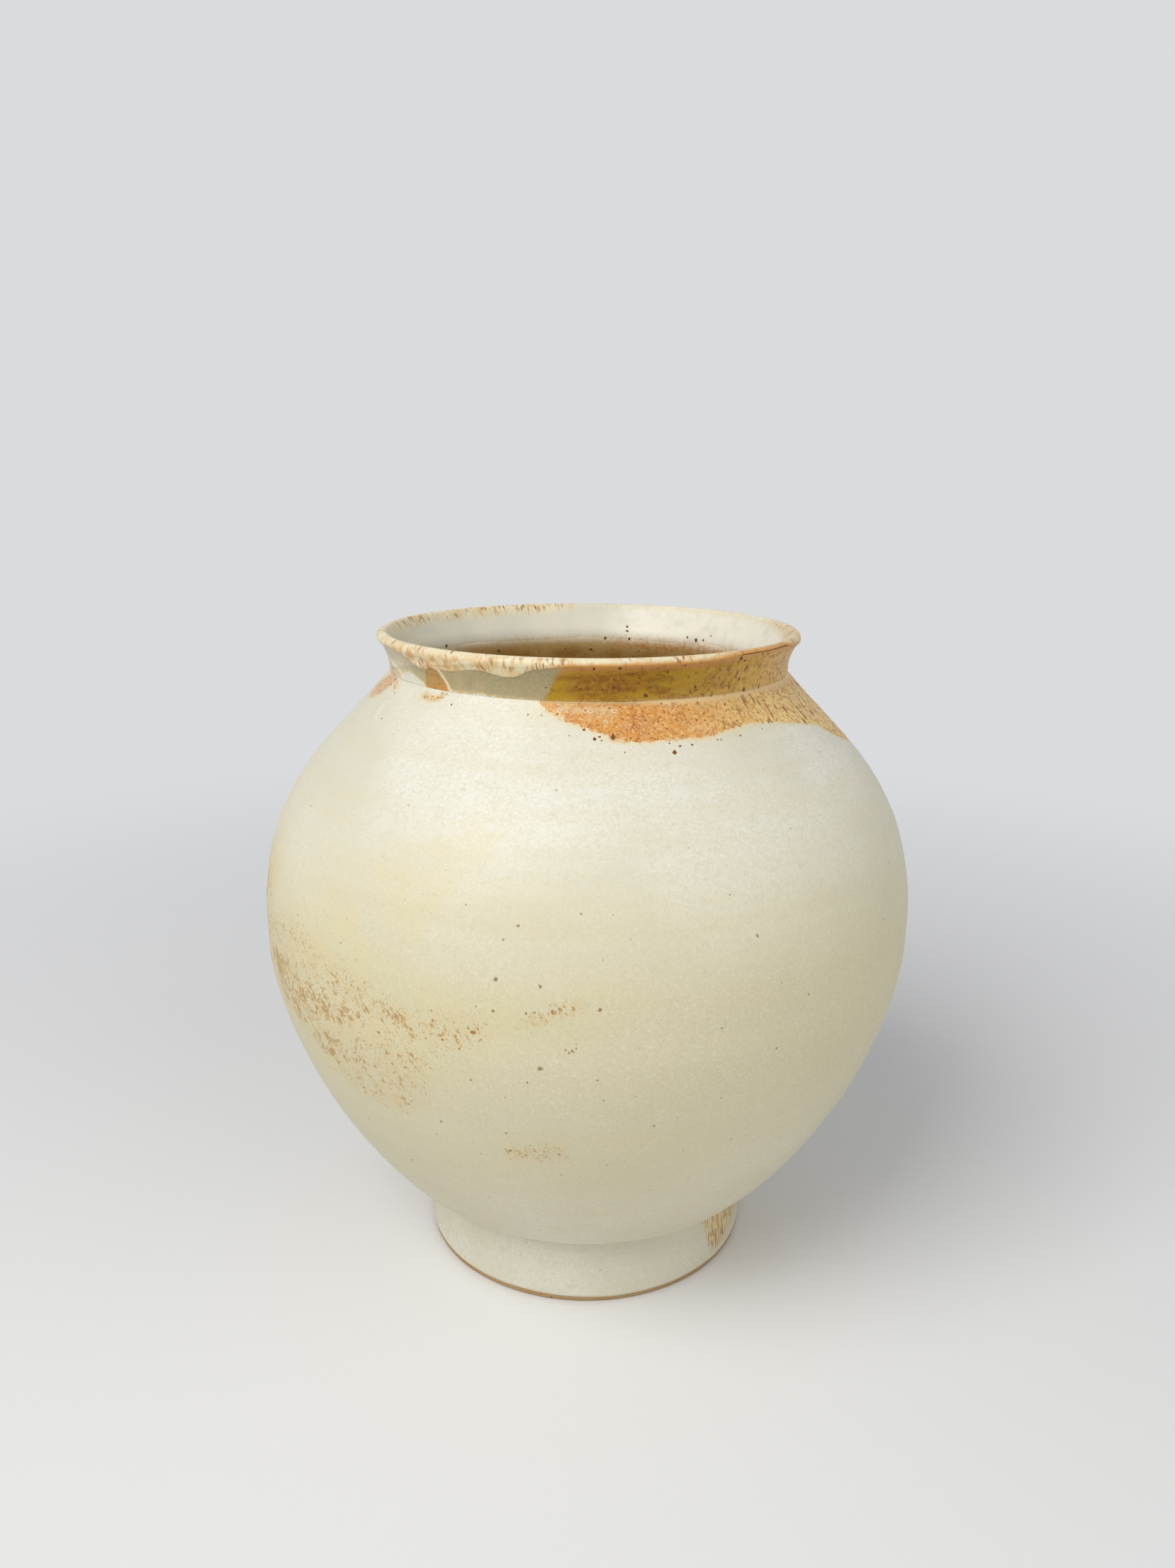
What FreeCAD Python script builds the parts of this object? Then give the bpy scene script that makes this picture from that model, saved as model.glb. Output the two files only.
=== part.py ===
import FreeCAD, Part
import math
import os
from collections import namedtuple

import Sketcher
from FreeCAD import Placement, Rotation, Vector

# A Korean moon jar: two thrown bowls luted rim to rim, on a foot ring, with a collar for a neck,
# and the glaze coats that cover them. Millimetres, +Z up, the origin at the middle of the foot's
# underside. The front of the jar looks along -Y, and angles round the jar count from the front
# towards +X. Every piece is turned from a half section in the XZ plane.
#
# All sections follow one finished profile. From the ground up it is the foot wall, a small fillet,
# the flat underside, the rounded heel, the long flank arc, the belly arc, an upright band at the
# waist, the shoulder arc, a straight slope to the throat, a fillet, the flared neck and the round lip.
# A layer lies a constant depth inside that profile, so each coat and wall is drawn by the same
# functions at its own depth, and neighbours share one face.

SIZES = {
    # the jar as a whole
    "jar_height": 250.0,
    "belly_radius": 125.4,
    "waist_height": 142.6,
    "waist_band": 7.2,
    # lower half: the belly arc turns a share of the way from the waist to the heel
    "lower_belly_arc": 92.0,
    "lower_turn_share": 0.52,
    "heel_rounding": 14.0,
    "underside_width": 2.1,
    # upper half: the slope under the throat, as a share of the angle of the chord from the waist
    "shoulder_slope_share": 1.483,
    # foot ring and the hollow inside it
    "foot_height": 30.5,
    "foot_radius": 66.2,
    "foot_top_radius": 62.9,
    "foot_fillet": 3.0,
    "foot_width": 9.5,
    "foot_joint_height": 24.5,
    "foot_bevel": 0.8,
    "well_taper": 2.0,
    "bare_strip": 2.1,
    # neck and lip
    "neck_height": 15.5,
    "throat_radius": 75.4,
    "throat_fillet": 2.5,
    "neck_flare_arc": 19.0,
    "lip_thickness": 4.0,
    "collar_height": 23.5,
    "lip_glaze_drop": 4.0,
    # walls, joints and coats
    "wall_thickness": 6.0,
    "base_thickness": 8.0,
    "floor_rounding": 30.0,
    "slip_thickness": 1.0,
    "glaze_thickness": 0.6,
    # the amber flash on the shoulder, by its lower edge and its angles round the jar
    "flash_drop": 25.5,
    "flash_middle_angle": 45.0,
    "flash_spread_angle": 110.0,
}

doc = FreeCAD.newDocument("moon_jar")
sheet = doc.addObject("Spreadsheet::Sheet", "sizes")
for row, (name, number) in enumerate(SIZES.items(), start=1):
    sheet.set(f"A{row}", name)
    sheet.set(f"B{row}", str(number))
    sheet.setAlias(f"B{row}", name)
doc.recompute()

# Depths of the layers inside the finished outer profile
NOTHING = "0"
OUTSIDE = NOTHING
CLAY_OUTSIDE = "sizes.glaze_thickness"
CLAY_INSIDE = "(sizes.glaze_thickness + sizes.wall_thickness)"
INSIDE = "(2 * sizes.glaze_thickness + sizes.wall_thickness)"

# Heights and radii that follow from the sizes
BELLY_LOW = "(sizes.waist_height - sizes.waist_band / 2)"
BELLY_HIGH = "(sizes.waist_height + sizes.waist_band / 2)"
HEEL_RADIUS = "(sizes.foot_top_radius + sizes.foot_fillet + sizes.underside_width)"
HEEL_CENTRE_HEIGHT = "(sizes.foot_height + sizes.heel_rounding)"
FOOT_TAPER = "atan((sizes.foot_radius - sizes.foot_top_radius) / sizes.foot_height)"
THROAT_HEIGHT = "(sizes.jar_height - sizes.neck_height)"
NECK_JOINT = "(sizes.jar_height - sizes.collar_height)"
LIP_ROUNDING = "(sizes.lip_thickness / 2)"
LIP_GLAZE_EDGE = "(sizes.jar_height - sizes.lip_glaze_drop)"
FLOOR_HEIGHT = "(sizes.foot_joint_height + sizes.slip_thickness / 2 + sizes.base_thickness)"

# The belly arc turns through LOWER_TURN. The flank arc then runs on from its end, and its radius is
# the one that also makes it touch the heel's rounding from inside: with w the vector from the heel's
# centre to the arcs' meeting point and n the outward direction there, R = (w.w - h^2) / (2 (w.n - h)).
LOWER_TURN = (
    f"(sizes.lower_turn_share * atan((sizes.belly_radius - {HEEL_RADIUS})"
    f" / ({BELLY_LOW} - sizes.foot_height)))"
)
MEET_OUT = (
    f"(sizes.belly_radius - sizes.lower_belly_arc * (1 - cos({LOWER_TURN})) - {HEEL_RADIUS})"
)
MEET_UP = f"({BELLY_LOW} - sizes.lower_belly_arc * sin({LOWER_TURN}) - {HEEL_CENTRE_HEIGHT})"
FLANK_ARC = (
    f"(({MEET_OUT} * {MEET_OUT} + {MEET_UP} * {MEET_UP} - sizes.heel_rounding * sizes.heel_rounding)"
    f" / (2 * ({MEET_OUT} * cos({LOWER_TURN}) - {MEET_UP} * sin({LOWER_TURN}) - sizes.heel_rounding)))"
)

# The slope under the throat leans SLOPE from the upright, and the shoulder arc has the radius that
# joins it smoothly to the upright band at the waist.
SHOULDER_RISE = f"({THROAT_HEIGHT} - {BELLY_HIGH})"
SHOULDER_STEP = "(sizes.belly_radius - sizes.throat_radius)"
SLOPE = f"(sizes.shoulder_slope_share * atan({SHOULDER_STEP} / {SHOULDER_RISE}))"
SHOULDER_ARC = (
    f"(({SHOULDER_RISE} * sin({SLOPE}) - {SHOULDER_STEP} * cos({SLOPE})) / (1 - cos({SLOPE})))"
)
THROAT_LEVEL = f"({THROAT_HEIGHT} + sizes.throat_fillet * tan({SLOPE} / 2))"


def value(expression):
    """The number that an expression on the sheet gives."""
    result = doc.sizes.evalExpression(expression)
    return float(getattr(result, "Value", result))


def direction(degrees):
    """Unit vector at an angle above the outward direction."""
    return Vector(math.cos(math.radians(degrees)), math.sin(math.radians(degrees)), 0)


def spot(x, y):
    """A point of the half section: its radius and its height, as expressions."""
    return Vector(value(x), value(y), 0)


def crossing(z, depth):
    """Radius at a height on the slope under the throat, a depth inside it."""
    return (
        f"(sizes.throat_radius + ({THROAT_HEIGHT} - {z}) * tan({SLOPE}) - ({depth}) / cos({SLOPE}))"
    )


def foot_wall(z, depth):
    """Radius at a height on the foot's tapered wall, a depth inside it."""
    return f"(sizes.foot_radius - ({depth}) - ({z}) * tan({FOOT_TAPER}))"


def flare(z, depth):
    """Radius at a height on the flared neck, a depth inside it."""
    arc = f"(sizes.neck_flare_arc + {depth})"
    rise = f"({z} - {THROAT_LEVEL})"
    return f"(sizes.throat_radius + sizes.neck_flare_arc - sqrt({arc} * {arc} - {rise} * {rise}))"


Edge = namedtuple("Edge", "index first last")
CENTRE = 3
ORIGIN = (-1, 1)
GROUND, AXIS = range(-1, -3, -1)


class Section:
    """A closed half section of a turned piece, held by constraints that name the sheet's sizes."""

    def __init__(self, body, name):
        self.sketch = body.newObject("Sketcher::SketchObject", name)
        plane = next(item for item in body.Origin.OriginFeatures if item.Role == "XZ_Plane")
        self.sketch.AttachmentSupport = (plane, [""])
        self.sketch.MapMode = "FlatFace"

    def line(self, start, end):
        index = self.sketch.addGeometry(Part.LineSegment(start, end), False)
        return Edge(index, 1, 2)

    def arc(self, centre, start, end):
        """The shorter arc about a centre, from start to end."""
        begin = math.atan2(start.y - centre.y, start.x - centre.x)
        finish = math.atan2(end.y - centre.y, end.x - centre.x)
        forward = (finish - begin) % (2 * math.pi) <= math.pi
        if not forward:
            begin, finish = finish, begin
        circle = Part.Circle(centre, Vector(0, 0, 1), (start - centre).Length)
        index = self.sketch.addGeometry(Part.ArcOfCircle(circle, begin, finish), False)
        return Edge(index, 1, 2) if forward else Edge(index, 2, 1)

    def rule(self, *terms):
        return self.sketch.addConstraint(Sketcher.Constraint(*terms))

    def bound(self, expression, *terms, scale=1.0):
        """A dimension whose value is an expression on the sheet."""
        index = self.rule(*terms, value(expression) * scale)
        self.sketch.setExpression(f"Constraints[{index}]", expression)

    def meet(self, before, after):
        self.rule("Coincident", before.index, before.last, after.index, after.first)

    def flow(self, before, after):
        """Two edges joined end to end with no corner."""
        self.rule("Tangent", before.index, before.last, after.index, after.first)

    def level(self, edge):
        self.rule("Horizontal", edge.index)

    def upright(self, edge):
        self.rule("Vertical", edge.index)

    def at_x(self, edge, end, expression):
        self.bound(expression, "DistanceX", *ORIGIN, edge.index, end)

    def at_y(self, edge, end, expression):
        self.bound(expression, "DistanceY", *ORIGIN, edge.index, end)

    def on_axis(self, edge, end):
        self.rule("PointOnObject", edge.index, end, AXIS)

    def on_ground(self, edge, end):
        self.rule("PointOnObject", edge.index, end, GROUND)

    def radius(self, edge, expression):
        self.bound(expression, "Radius", edge.index)

    def lean(self, edge, expression):
        """The angle of a line above the outward direction."""
        self.bound(expression, "Angle", edge.index, scale=math.radians(1))

    def upright_end(self, edge, end):
        """An arc's end where its tangent is upright: level with its centre."""
        self.rule("Horizontal", edge.index, CENTRE, edge.index, end)

    def level_end(self, edge, end):
        """An arc's end where its tangent is level: straight above its centre."""
        self.rule("Vertical", edge.index, CENTRE, edge.index, end)

    # The finished profile in stretches, each drawn from above downwards at a depth inside it

    def belly(self, top, depth):
        """The waist's upright band and the belly arc below it."""
        deep = value(depth)
        centre = spot("sizes.belly_radius - sizes.lower_belly_arc", BELLY_LOW)
        arc = value("sizes.lower_belly_arc") - deep
        out = centre + Vector(arc, 0, 0)
        low = centre + direction(-value(LOWER_TURN)) * arc
        band = self.line(Vector(out.x, value(top), 0), out)
        bend = self.arc(centre, out, low)
        self.upright(band)
        self.at_x(band, band.first, f"sizes.belly_radius - {depth}")
        self.at_y(band, band.first, top)
        self.at_y(band, band.last, BELLY_LOW)
        self.flow(band, bend)
        self.radius(bend, f"sizes.lower_belly_arc - {depth}")
        self.at_y(
            bend, bend.last, f"{BELLY_LOW} - (sizes.lower_belly_arc - {depth}) * sin({LOWER_TURN})"
        )
        return band, bend

    def flank_centre(self):
        """Centre of the flank arc, on the line from the belly arc's centre through their meeting."""
        belly_centre = spot("sizes.belly_radius - sizes.lower_belly_arc", BELLY_LOW)
        inward = value(f"{FLANK_ARC} - sizes.lower_belly_arc")
        return belly_centre - direction(-value(LOWER_TURN)) * inward

    def lower_outer(self, top, foot, depth):
        """Everything below a height on the waist's band, down the outside to a height on the foot."""
        deep = value(depth)
        band, bend = self.belly(top, depth)
        flank_centre = self.flank_centre()
        flank_arc = value(FLANK_ARC) - deep
        heel_centre = spot(HEEL_RADIUS, HEEL_CENTRE_HEIGHT)
        heel_arc = value("sizes.heel_rounding") - deep
        heel_way = (heel_centre - flank_centre).normalize()
        underside = value("sizes.foot_height") + deep
        taper = value(FOOT_TAPER)
        fillet_arc = value("sizes.foot_fillet") + deep
        wall_foot = Vector(value(foot_wall(foot, depth)), value(foot), 0)
        fillet_height = underside - fillet_arc
        fillet_radius = value(foot_wall("sizes.foot_height - sizes.foot_fillet", depth)) + fillet_arc / (
            math.cos(math.radians(taper))
        )
        fillet_centre = Vector(fillet_radius, fillet_height, 0)

        low = flank_centre + direction(-value(LOWER_TURN)) * flank_arc
        heel_top = flank_centre + heel_way * flank_arc
        heel_low = heel_centre - Vector(0, heel_arc, 0)
        fillet_out = fillet_centre + Vector(0, fillet_arc, 0)
        fillet_low = fillet_centre - direction(taper) * fillet_arc
        flank = self.arc(flank_centre, low, heel_top)
        heel = self.arc(heel_centre, heel_top, heel_low)
        under = self.line(heel_low, fillet_out)
        fillet = self.arc(fillet_centre, fillet_out, fillet_low)
        wall = self.line(fillet_low, wall_foot)
        self.flow(bend, flank)
        self.flow(flank, heel)
        self.radius(heel, f"sizes.heel_rounding - {depth}")
        self.flow(heel, under)
        self.level(under)
        self.at_x(under, under.first, HEEL_RADIUS)
        self.at_y(under, under.first, f"sizes.foot_height + {depth}")
        self.flow(under, fillet)
        self.radius(fillet, f"sizes.foot_fillet + {depth}")
        self.flow(fillet, wall)
        self.at_x(wall, wall.last, foot_wall(foot, depth))
        self.at_y(wall, wall.last, foot)
        self.lean(wall, f"-90 deg + {FOOT_TAPER}")
        return band, wall

    def lower_inner(self, top, floor, depth):
        """Everything below a height on the waist's band, down the inside to the middle of the floor."""
        deep = value(depth)
        rounding = f"(sizes.floor_rounding + {INSIDE} - {depth})"
        corner = value(rounding)
        band, bend = self.belly(top, depth)
        flank_centre = self.flank_centre()
        flank_arc = value(FLANK_ARC) - deep
        drop = flank_centre.y - value(floor) - corner
        reach = math.sqrt((flank_arc - corner) ** 2 - drop**2)
        corner_centre = flank_centre + Vector(reach, -drop, 0)
        corner_way = (corner_centre - flank_centre).normalize()

        low = flank_centre + direction(-value(LOWER_TURN)) * flank_arc
        corner_top = flank_centre + corner_way * flank_arc
        corner_low = corner_centre - Vector(0, corner, 0)
        flank = self.arc(flank_centre, low, corner_top)
        turn = self.arc(corner_centre, corner_top, corner_low)
        bottom = self.line(corner_low, Vector(0, corner_low.y, 0))
        self.flow(bend, flank)
        self.radius(flank, f"{FLANK_ARC} - {depth}")
        self.flow(flank, turn)
        self.radius(turn, rounding)
        self.flow(turn, bottom)
        self.level(bottom)
        self.at_y(bottom, bottom.last, floor)
        self.on_axis(bottom, bottom.last)
        return band, bottom

    def shoulder(self, bottom, depth, slope_end):
        """From a height on the waist's band up the shoulder to a point on the slope."""
        deep = value(depth)
        arc = value(SHOULDER_ARC) - deep
        centre = spot(f"sizes.belly_radius - {SHOULDER_ARC}", BELLY_HIGH)
        out = centre + Vector(arc, 0, 0)
        high = centre + direction(value(SLOPE)) * arc
        band = self.line(Vector(out.x, value(bottom), 0), out)
        bend = self.arc(centre, out, high)
        slope = self.line(high, slope_end)
        self.upright(band)
        self.at_x(band, band.first, f"sizes.belly_radius - {depth}")
        self.at_y(band, band.first, bottom)
        self.at_y(band, band.last, BELLY_HIGH)
        self.flow(band, bend)
        self.radius(bend, f"{SHOULDER_ARC} - {depth}")
        self.flow(bend, slope)
        self.lean(slope, f"90 deg + {SLOPE}")
        return band, slope

    def throat_points(self, depth):
        """Centre of the throat's rounding, and its two ends a depth inside the finished profile."""
        centre = spot("sizes.throat_radius + sizes.throat_fillet", THROAT_LEVEL)
        arc = value("sizes.throat_fillet") + value(depth)
        return centre, centre - direction(value(SLOPE)) * arc, centre - Vector(arc, 0, 0)

    def throat_corner(self, bottom, depth):
        """From a height on the slope up to the throat's level, without the shoulder below it."""
        centre, on_slope, at_throat = self.throat_points(depth)
        slope = self.line(spot(crossing(bottom, depth), bottom), on_slope)
        throat = self.arc(centre, on_slope, at_throat)
        self.at_y(slope, slope.first, bottom)
        self.lean(slope, f"90 deg + {SLOPE}")
        self.flow(slope, throat)
        self.radius(throat, f"sizes.throat_fillet + {depth}")
        self.at_x(throat, throat.last, f"sizes.throat_radius - {depth}")
        self.at_y(throat, throat.last, THROAT_LEVEL)
        self.upright_end(throat, throat.last)
        return slope, throat

    def upper(self, bottom, depth):
        """From a height on the waist's band up to the throat's level."""
        centre, on_slope, at_throat = self.throat_points(depth)
        band, slope = self.shoulder(bottom, depth, on_slope)
        throat = self.arc(centre, on_slope, at_throat)
        self.flow(slope, throat)
        self.radius(throat, f"sizes.throat_fillet + {depth}")
        self.at_x(throat, throat.last, f"sizes.throat_radius - {depth}")
        self.upright_end(throat, throat.last)
        return band, throat

    def lip_points(self, depth):
        """Flare centre, lip centre and the place where the two rounds meet on the outside."""
        flare_centre = spot("sizes.throat_radius + sizes.neck_flare_arc", THROAT_LEVEL)
        lip_height = value(f"sizes.jar_height - {LIP_ROUNDING}")
        span = value(f"sizes.neck_flare_arc + {LIP_ROUNDING}")
        back = math.sqrt(span**2 - (lip_height - flare_centre.y) ** 2)
        lip_centre = Vector(flare_centre.x - back, lip_height, 0)
        way = (lip_centre - flare_centre).normalize()
        meeting = flare_centre + way * (value("sizes.neck_flare_arc") + value(depth))
        return flare_centre, lip_centre, meeting

    def over_lip(self, flare_edge, depth, inner_depth, lowest):
        """From the flare over the lip and down the funnel inside, into the throat's rounding."""
        flare_centre, lip_centre, meeting = self.lip_points(depth)
        roll = value(LIP_ROUNDING) - value(depth)
        knuckle_centre = spot("sizes.throat_radius + sizes.throat_fillet", THROAT_LEVEL)
        knuckle = value("sizes.throat_fillet") + value(inner_depth)
        along = lip_centre - knuckle_centre
        lean = (knuckle - roll) / along.Length
        along.normalize()
        across = Vector(-along.y, along.x, 0)
        inward = along * lean + across * math.sqrt(1 - lean**2)

        top = lip_centre + Vector(0, roll, 0)
        lip_in = lip_centre + inward * roll
        funnel_low = knuckle_centre + inward * knuckle
        out_roll = self.arc(lip_centre, meeting, top)
        in_roll = self.arc(lip_centre, top, lip_in)
        funnel = self.line(lip_in, funnel_low)
        bulge = self.arc(knuckle_centre, funnel_low, lowest)
        self.flow(flare_edge, out_roll)
        self.radius(out_roll, f"{LIP_ROUNDING} - {depth}")
        self.level_end(out_roll, out_roll.last)
        self.at_y(out_roll, out_roll.last, f"sizes.jar_height - {depth}")
        self.rule("Coincident", out_roll.index, CENTRE, in_roll.index, CENTRE)
        self.meet(out_roll, in_roll)
        self.flow(in_roll, funnel)
        self.flow(funnel, bulge)
        self.radius(bulge, f"sizes.throat_fillet + {inner_depth}")
        self.at_x(bulge, CENTRE, "sizes.throat_radius + sizes.throat_fillet")
        self.at_y(bulge, CENTRE, THROAT_LEVEL)
        return bulge

    def end_of(self, edge):
        return self.sketch.getPoint(edge.index, edge.last)

    def join(self, before, before_end, after, after_end):
        """A straight edge between two free ends of the section."""
        start = self.sketch.getPoint(before.index, before_end)
        end = self.sketch.getPoint(after.index, after_end)
        link = self.line(start, end)
        self.rule("Coincident", before.index, before_end, link.index, link.first)
        self.rule("Coincident", after.index, after_end, link.index, link.last)
        return link


def new_body(label):
    body = doc.addObject("PartDesign::Body", label)
    body.Label = label
    body.Placement = Placement(Vector(0, 0, 0), Rotation(0, 0, 0))
    return body


def turn(body, section):
    """Turn a section once round the jar's axis, with an edge kept wherever a neighbour ends."""
    feature = body.newObject("PartDesign::Revolution", f"{body.Name}_turned")
    feature.Profile = section.sketch
    feature.ReferenceAxis = (section.sketch, ["V_Axis"])
    feature.Angle = 360
    feature.Refine = False
    body.Tip = feature
    return body


def joint_below(centre_height):
    return f"({centre_height} - sizes.slip_thickness / 2)"


def joint_above(centre_height):
    return f"({centre_height} + sizes.slip_thickness / 2)"


def ring(label, corners):
    """A piece with a straight-sided section: its corners, each a radius and a height."""
    body = new_body(label)
    section = Section(body, f"{label}_section")
    points = [spot(x, y) for x, y in corners]
    sides = [section.line(point, after) for point, after in zip(points, points[1:] + points[:1])]
    for side, after in zip(sides, sides[1:] + sides[:1]):
        section.meet(side, after)
    for side, (x, y) in zip(sides, corners):
        if x == NOTHING:
            section.on_axis(side, side.first)
        else:
            section.at_x(side, side.first, x)
        if y == NOTHING:
            section.on_ground(side, side.first)
        else:
            section.at_y(side, side.first, y)
    return turn(body, section)


# Radius of the well's wall at the foot joint, and where it stands lower down
WELL_RADIUS = "(sizes.foot_radius - sizes.glaze_thickness - sizes.foot_width)"


def well_wall(z, depth):
    """Radius at a height on the well's tapered wall, a depth inside the clay's face."""
    return f"({WELL_RADIUS} - sizes.well_taper * ({z}) / sizes.foot_joint_height - ({depth}))"


def make_foot_ring():
    top = joint_below("sizes.foot_joint_height")
    bevel = "sizes.foot_bevel"
    return ring(
        "foot_ring",
        [
            (f"{foot_wall(bevel, CLAY_OUTSIDE)} - {bevel}", NOTHING),
            (foot_wall(bevel, CLAY_OUTSIDE), bevel),
            (foot_wall(top, CLAY_OUTSIDE), top),
            (well_wall(top, NOTHING), top),
            (well_wall(bevel, NOTHING), bevel),
            (f"{well_wall(bevel, NOTHING)} + {bevel}", NOTHING),
        ],
    )


def make_foot_slip():
    low = joint_below("sizes.foot_joint_height")
    high = joint_above("sizes.foot_joint_height")
    return ring(
        "foot_slip",
        [
            (foot_wall(low, CLAY_OUTSIDE), low),
            (foot_wall(high, CLAY_OUTSIDE), high),
            (well_wall(low, NOTHING), high),
            (well_wall(low, NOTHING), low),
        ],
    )


def make_lower_bowl():
    body = new_body("lower_bowl")
    section = Section(body, "lower_bowl_section")
    rim = joint_below("sizes.waist_height")
    seat = joint_above("sizes.foot_joint_height")
    outer_top, outer_low = section.lower_outer(rim, seat, CLAY_OUTSIDE)
    inner_top, floor = section.lower_inner(rim, FLOOR_HEIGHT, CLAY_INSIDE)
    section.join(outer_top, outer_top.first, inner_top, inner_top.first)
    centre_post = section.line(Vector(0, value(FLOOR_HEIGHT), 0), Vector(0, value(seat), 0))
    section.meet(floor, centre_post)
    section.on_axis(centre_post, centre_post.last)
    base = section.line(Vector(0, value(seat), 0), spot(foot_wall(seat, CLAY_OUTSIDE), seat))
    section.meet(centre_post, base)
    section.rule("Coincident", base.index, base.last, outer_low.index, outer_low.last)
    section.level(base)
    return turn(body, section)


def make_waist_slip():
    low = joint_below("sizes.waist_height")
    high = joint_above("sizes.waist_height")
    outer = f"sizes.belly_radius - {CLAY_OUTSIDE}"
    inner = f"sizes.belly_radius - {CLAY_INSIDE}"
    return ring("waist_slip", [(inner, low), (outer, low), (outer, high), (inner, high)])


def make_upper_bowl():
    body = new_body("upper_bowl")
    section = Section(body, "upper_bowl_section")
    rim = joint_above("sizes.waist_height")
    mouth = joint_below(NECK_JOINT)
    sides = []
    for depth in (CLAY_OUTSIDE, CLAY_INSIDE):
        band, slope = section.shoulder(rim, depth, spot(crossing(mouth, depth), mouth))
        section.at_y(slope, slope.last, mouth)
        sides.append((band, slope))
    section.join(sides[0][0], sides[0][0].first, sides[1][0], sides[1][0].first)
    section.join(sides[0][1], sides[0][1].last, sides[1][1], sides[1][1].last)
    return turn(body, section)


def make_neck_slip():
    low = joint_below(NECK_JOINT)
    high = joint_above(NECK_JOINT)
    return ring(
        "neck_slip",
        [
            (crossing(low, CLAY_INSIDE), low),
            (crossing(low, CLAY_OUTSIDE), low),
            (crossing(high, CLAY_OUTSIDE), high),
            (crossing(high, CLAY_INSIDE), high),
        ],
    )


def make_neck_collar():
    body = new_body("neck_collar")
    section = Section(body, "neck_collar_section")
    seat = joint_above(NECK_JOINT)
    slope, throat = section.throat_corner(seat, CLAY_OUTSIDE)
    flare_centre, _, meeting = section.lip_points(CLAY_OUTSIDE)
    glaze_edge = spot(flare(LIP_GLAZE_EDGE, CLAY_OUTSIDE), LIP_GLAZE_EDGE)
    neck = section.arc(flare_centre, section.end_of(throat), glaze_edge)
    rim = section.arc(flare_centre, glaze_edge, meeting)
    section.flow(throat, neck)
    section.radius(neck, f"sizes.neck_flare_arc + {CLAY_OUTSIDE}")
    section.at_y(neck, neck.last, LIP_GLAZE_EDGE)
    section.meet(neck, rim)
    section.rule("Coincident", neck.index, CENTRE, rim.index, CENTRE)
    throat_centre, inner_corner, at_throat = section.throat_points(CLAY_INSIDE)
    bulge = section.over_lip(rim, CLAY_OUTSIDE, CLAY_INSIDE, at_throat)
    section.upright_end(bulge, bulge.last)
    under_bulge = section.arc(throat_centre, at_throat, inner_corner)
    section.meet(bulge, under_bulge)
    section.rule("Coincident", bulge.index, CENTRE, under_bulge.index, CENTRE)
    back = section.line(inner_corner, spot(crossing(seat, CLAY_INSIDE), seat))
    section.flow(under_bulge, back)
    section.lean(back, f"-90 deg + {SLOPE}")
    base = section.join(back, back.last, slope, slope.first)
    section.level(base)
    return turn(body, section)


def draw_flash_band(section):
    """The part of the outer coat between the flash's lower edge and the throat's level."""
    low = "(sizes.jar_height - sizes.flash_drop)"
    sides = []
    for depth in (OUTSIDE, CLAY_OUTSIDE):
        sides.append(section.throat_corner(low, depth))
    section.join(sides[0][0], sides[0][0].first, sides[1][0], sides[1][0].first)
    section.join(sides[0][1], sides[0][1].last, sides[1][1], sides[1][1].last)
    section.sketch.AttachmentOffset = Placement(Vector(0, 0, 0), Vector(0, 1, 0), 0)
    section.sketch.setExpression(".AttachmentOffset.Rotation.Angle", "sizes.flash_middle_angle - 90")


def sweep_flash(body, kind):
    """Turn the flash's band through its spread, evenly to both sides of its middle."""
    section = Section(body, f"{body.Name}_flash_band")
    draw_flash_band(section)
    feature = body.newObject(kind, f"{body.Name}_flash")
    feature.Profile = section.sketch
    feature.ReferenceAxis = (section.sketch, ["V_Axis"])
    feature.Midplane = True
    feature.setExpression("Angle", "sizes.flash_spread_angle")
    body.Tip = feature
    return body


def make_outer_glaze():
    body = new_body("outer_glaze")
    section = Section(body, "outer_glaze_section")
    low_ends = []
    high_ends = []
    for depth in (OUTSIDE, CLAY_OUTSIDE):
        band, wall = section.lower_outer("sizes.waist_height", "sizes.bare_strip", depth)
        high_band, throat = section.upper("sizes.waist_height", depth)
        low_ends.append(wall)
        high_ends.append(throat)
    section.join(low_ends[0], low_ends[0].last, low_ends[1], low_ends[1].last)
    section.join(high_ends[0], high_ends[0].last, high_ends[1], high_ends[1].last)
    turn(body, section)
    return sweep_flash(body, "PartDesign::Groove")


def make_shoulder_flash():
    return sweep_flash(new_body("shoulder_flash"), "PartDesign::Revolution")


def neck_arcs(section, low, tops):
    """The flared neck's outer face and the clay under it, from a height up to their top points."""
    edges = []
    for depth, top in zip((OUTSIDE, CLAY_OUTSIDE), tops):
        centre = spot("sizes.throat_radius + sizes.neck_flare_arc", THROAT_LEVEL)
        edge = section.arc(centre, spot(flare(low, depth), low), top)
        section.at_x(edge, CENTRE, "sizes.throat_radius + sizes.neck_flare_arc")
        section.at_y(edge, CENTRE, THROAT_LEVEL)
        section.radius(edge, f"sizes.neck_flare_arc + {depth}")
        edges.append(edge)
    return edges


def make_neck_glaze():
    body = new_body("neck_glaze")
    section = Section(body, "neck_glaze_section")
    tops = [spot(flare(LIP_GLAZE_EDGE, depth), LIP_GLAZE_EDGE) for depth in (OUTSIDE, CLAY_OUTSIDE)]
    edges = neck_arcs(section, THROAT_LEVEL, tops)
    for edge in edges:
        section.upright_end(edge, edge.first)
        section.at_y(edge, edge.last, LIP_GLAZE_EDGE)
    section.join(edges[0], edges[0].first, edges[1], edges[1].first)
    section.join(edges[0], edges[0].last, edges[1], edges[1].last)
    return turn(body, section)


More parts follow.
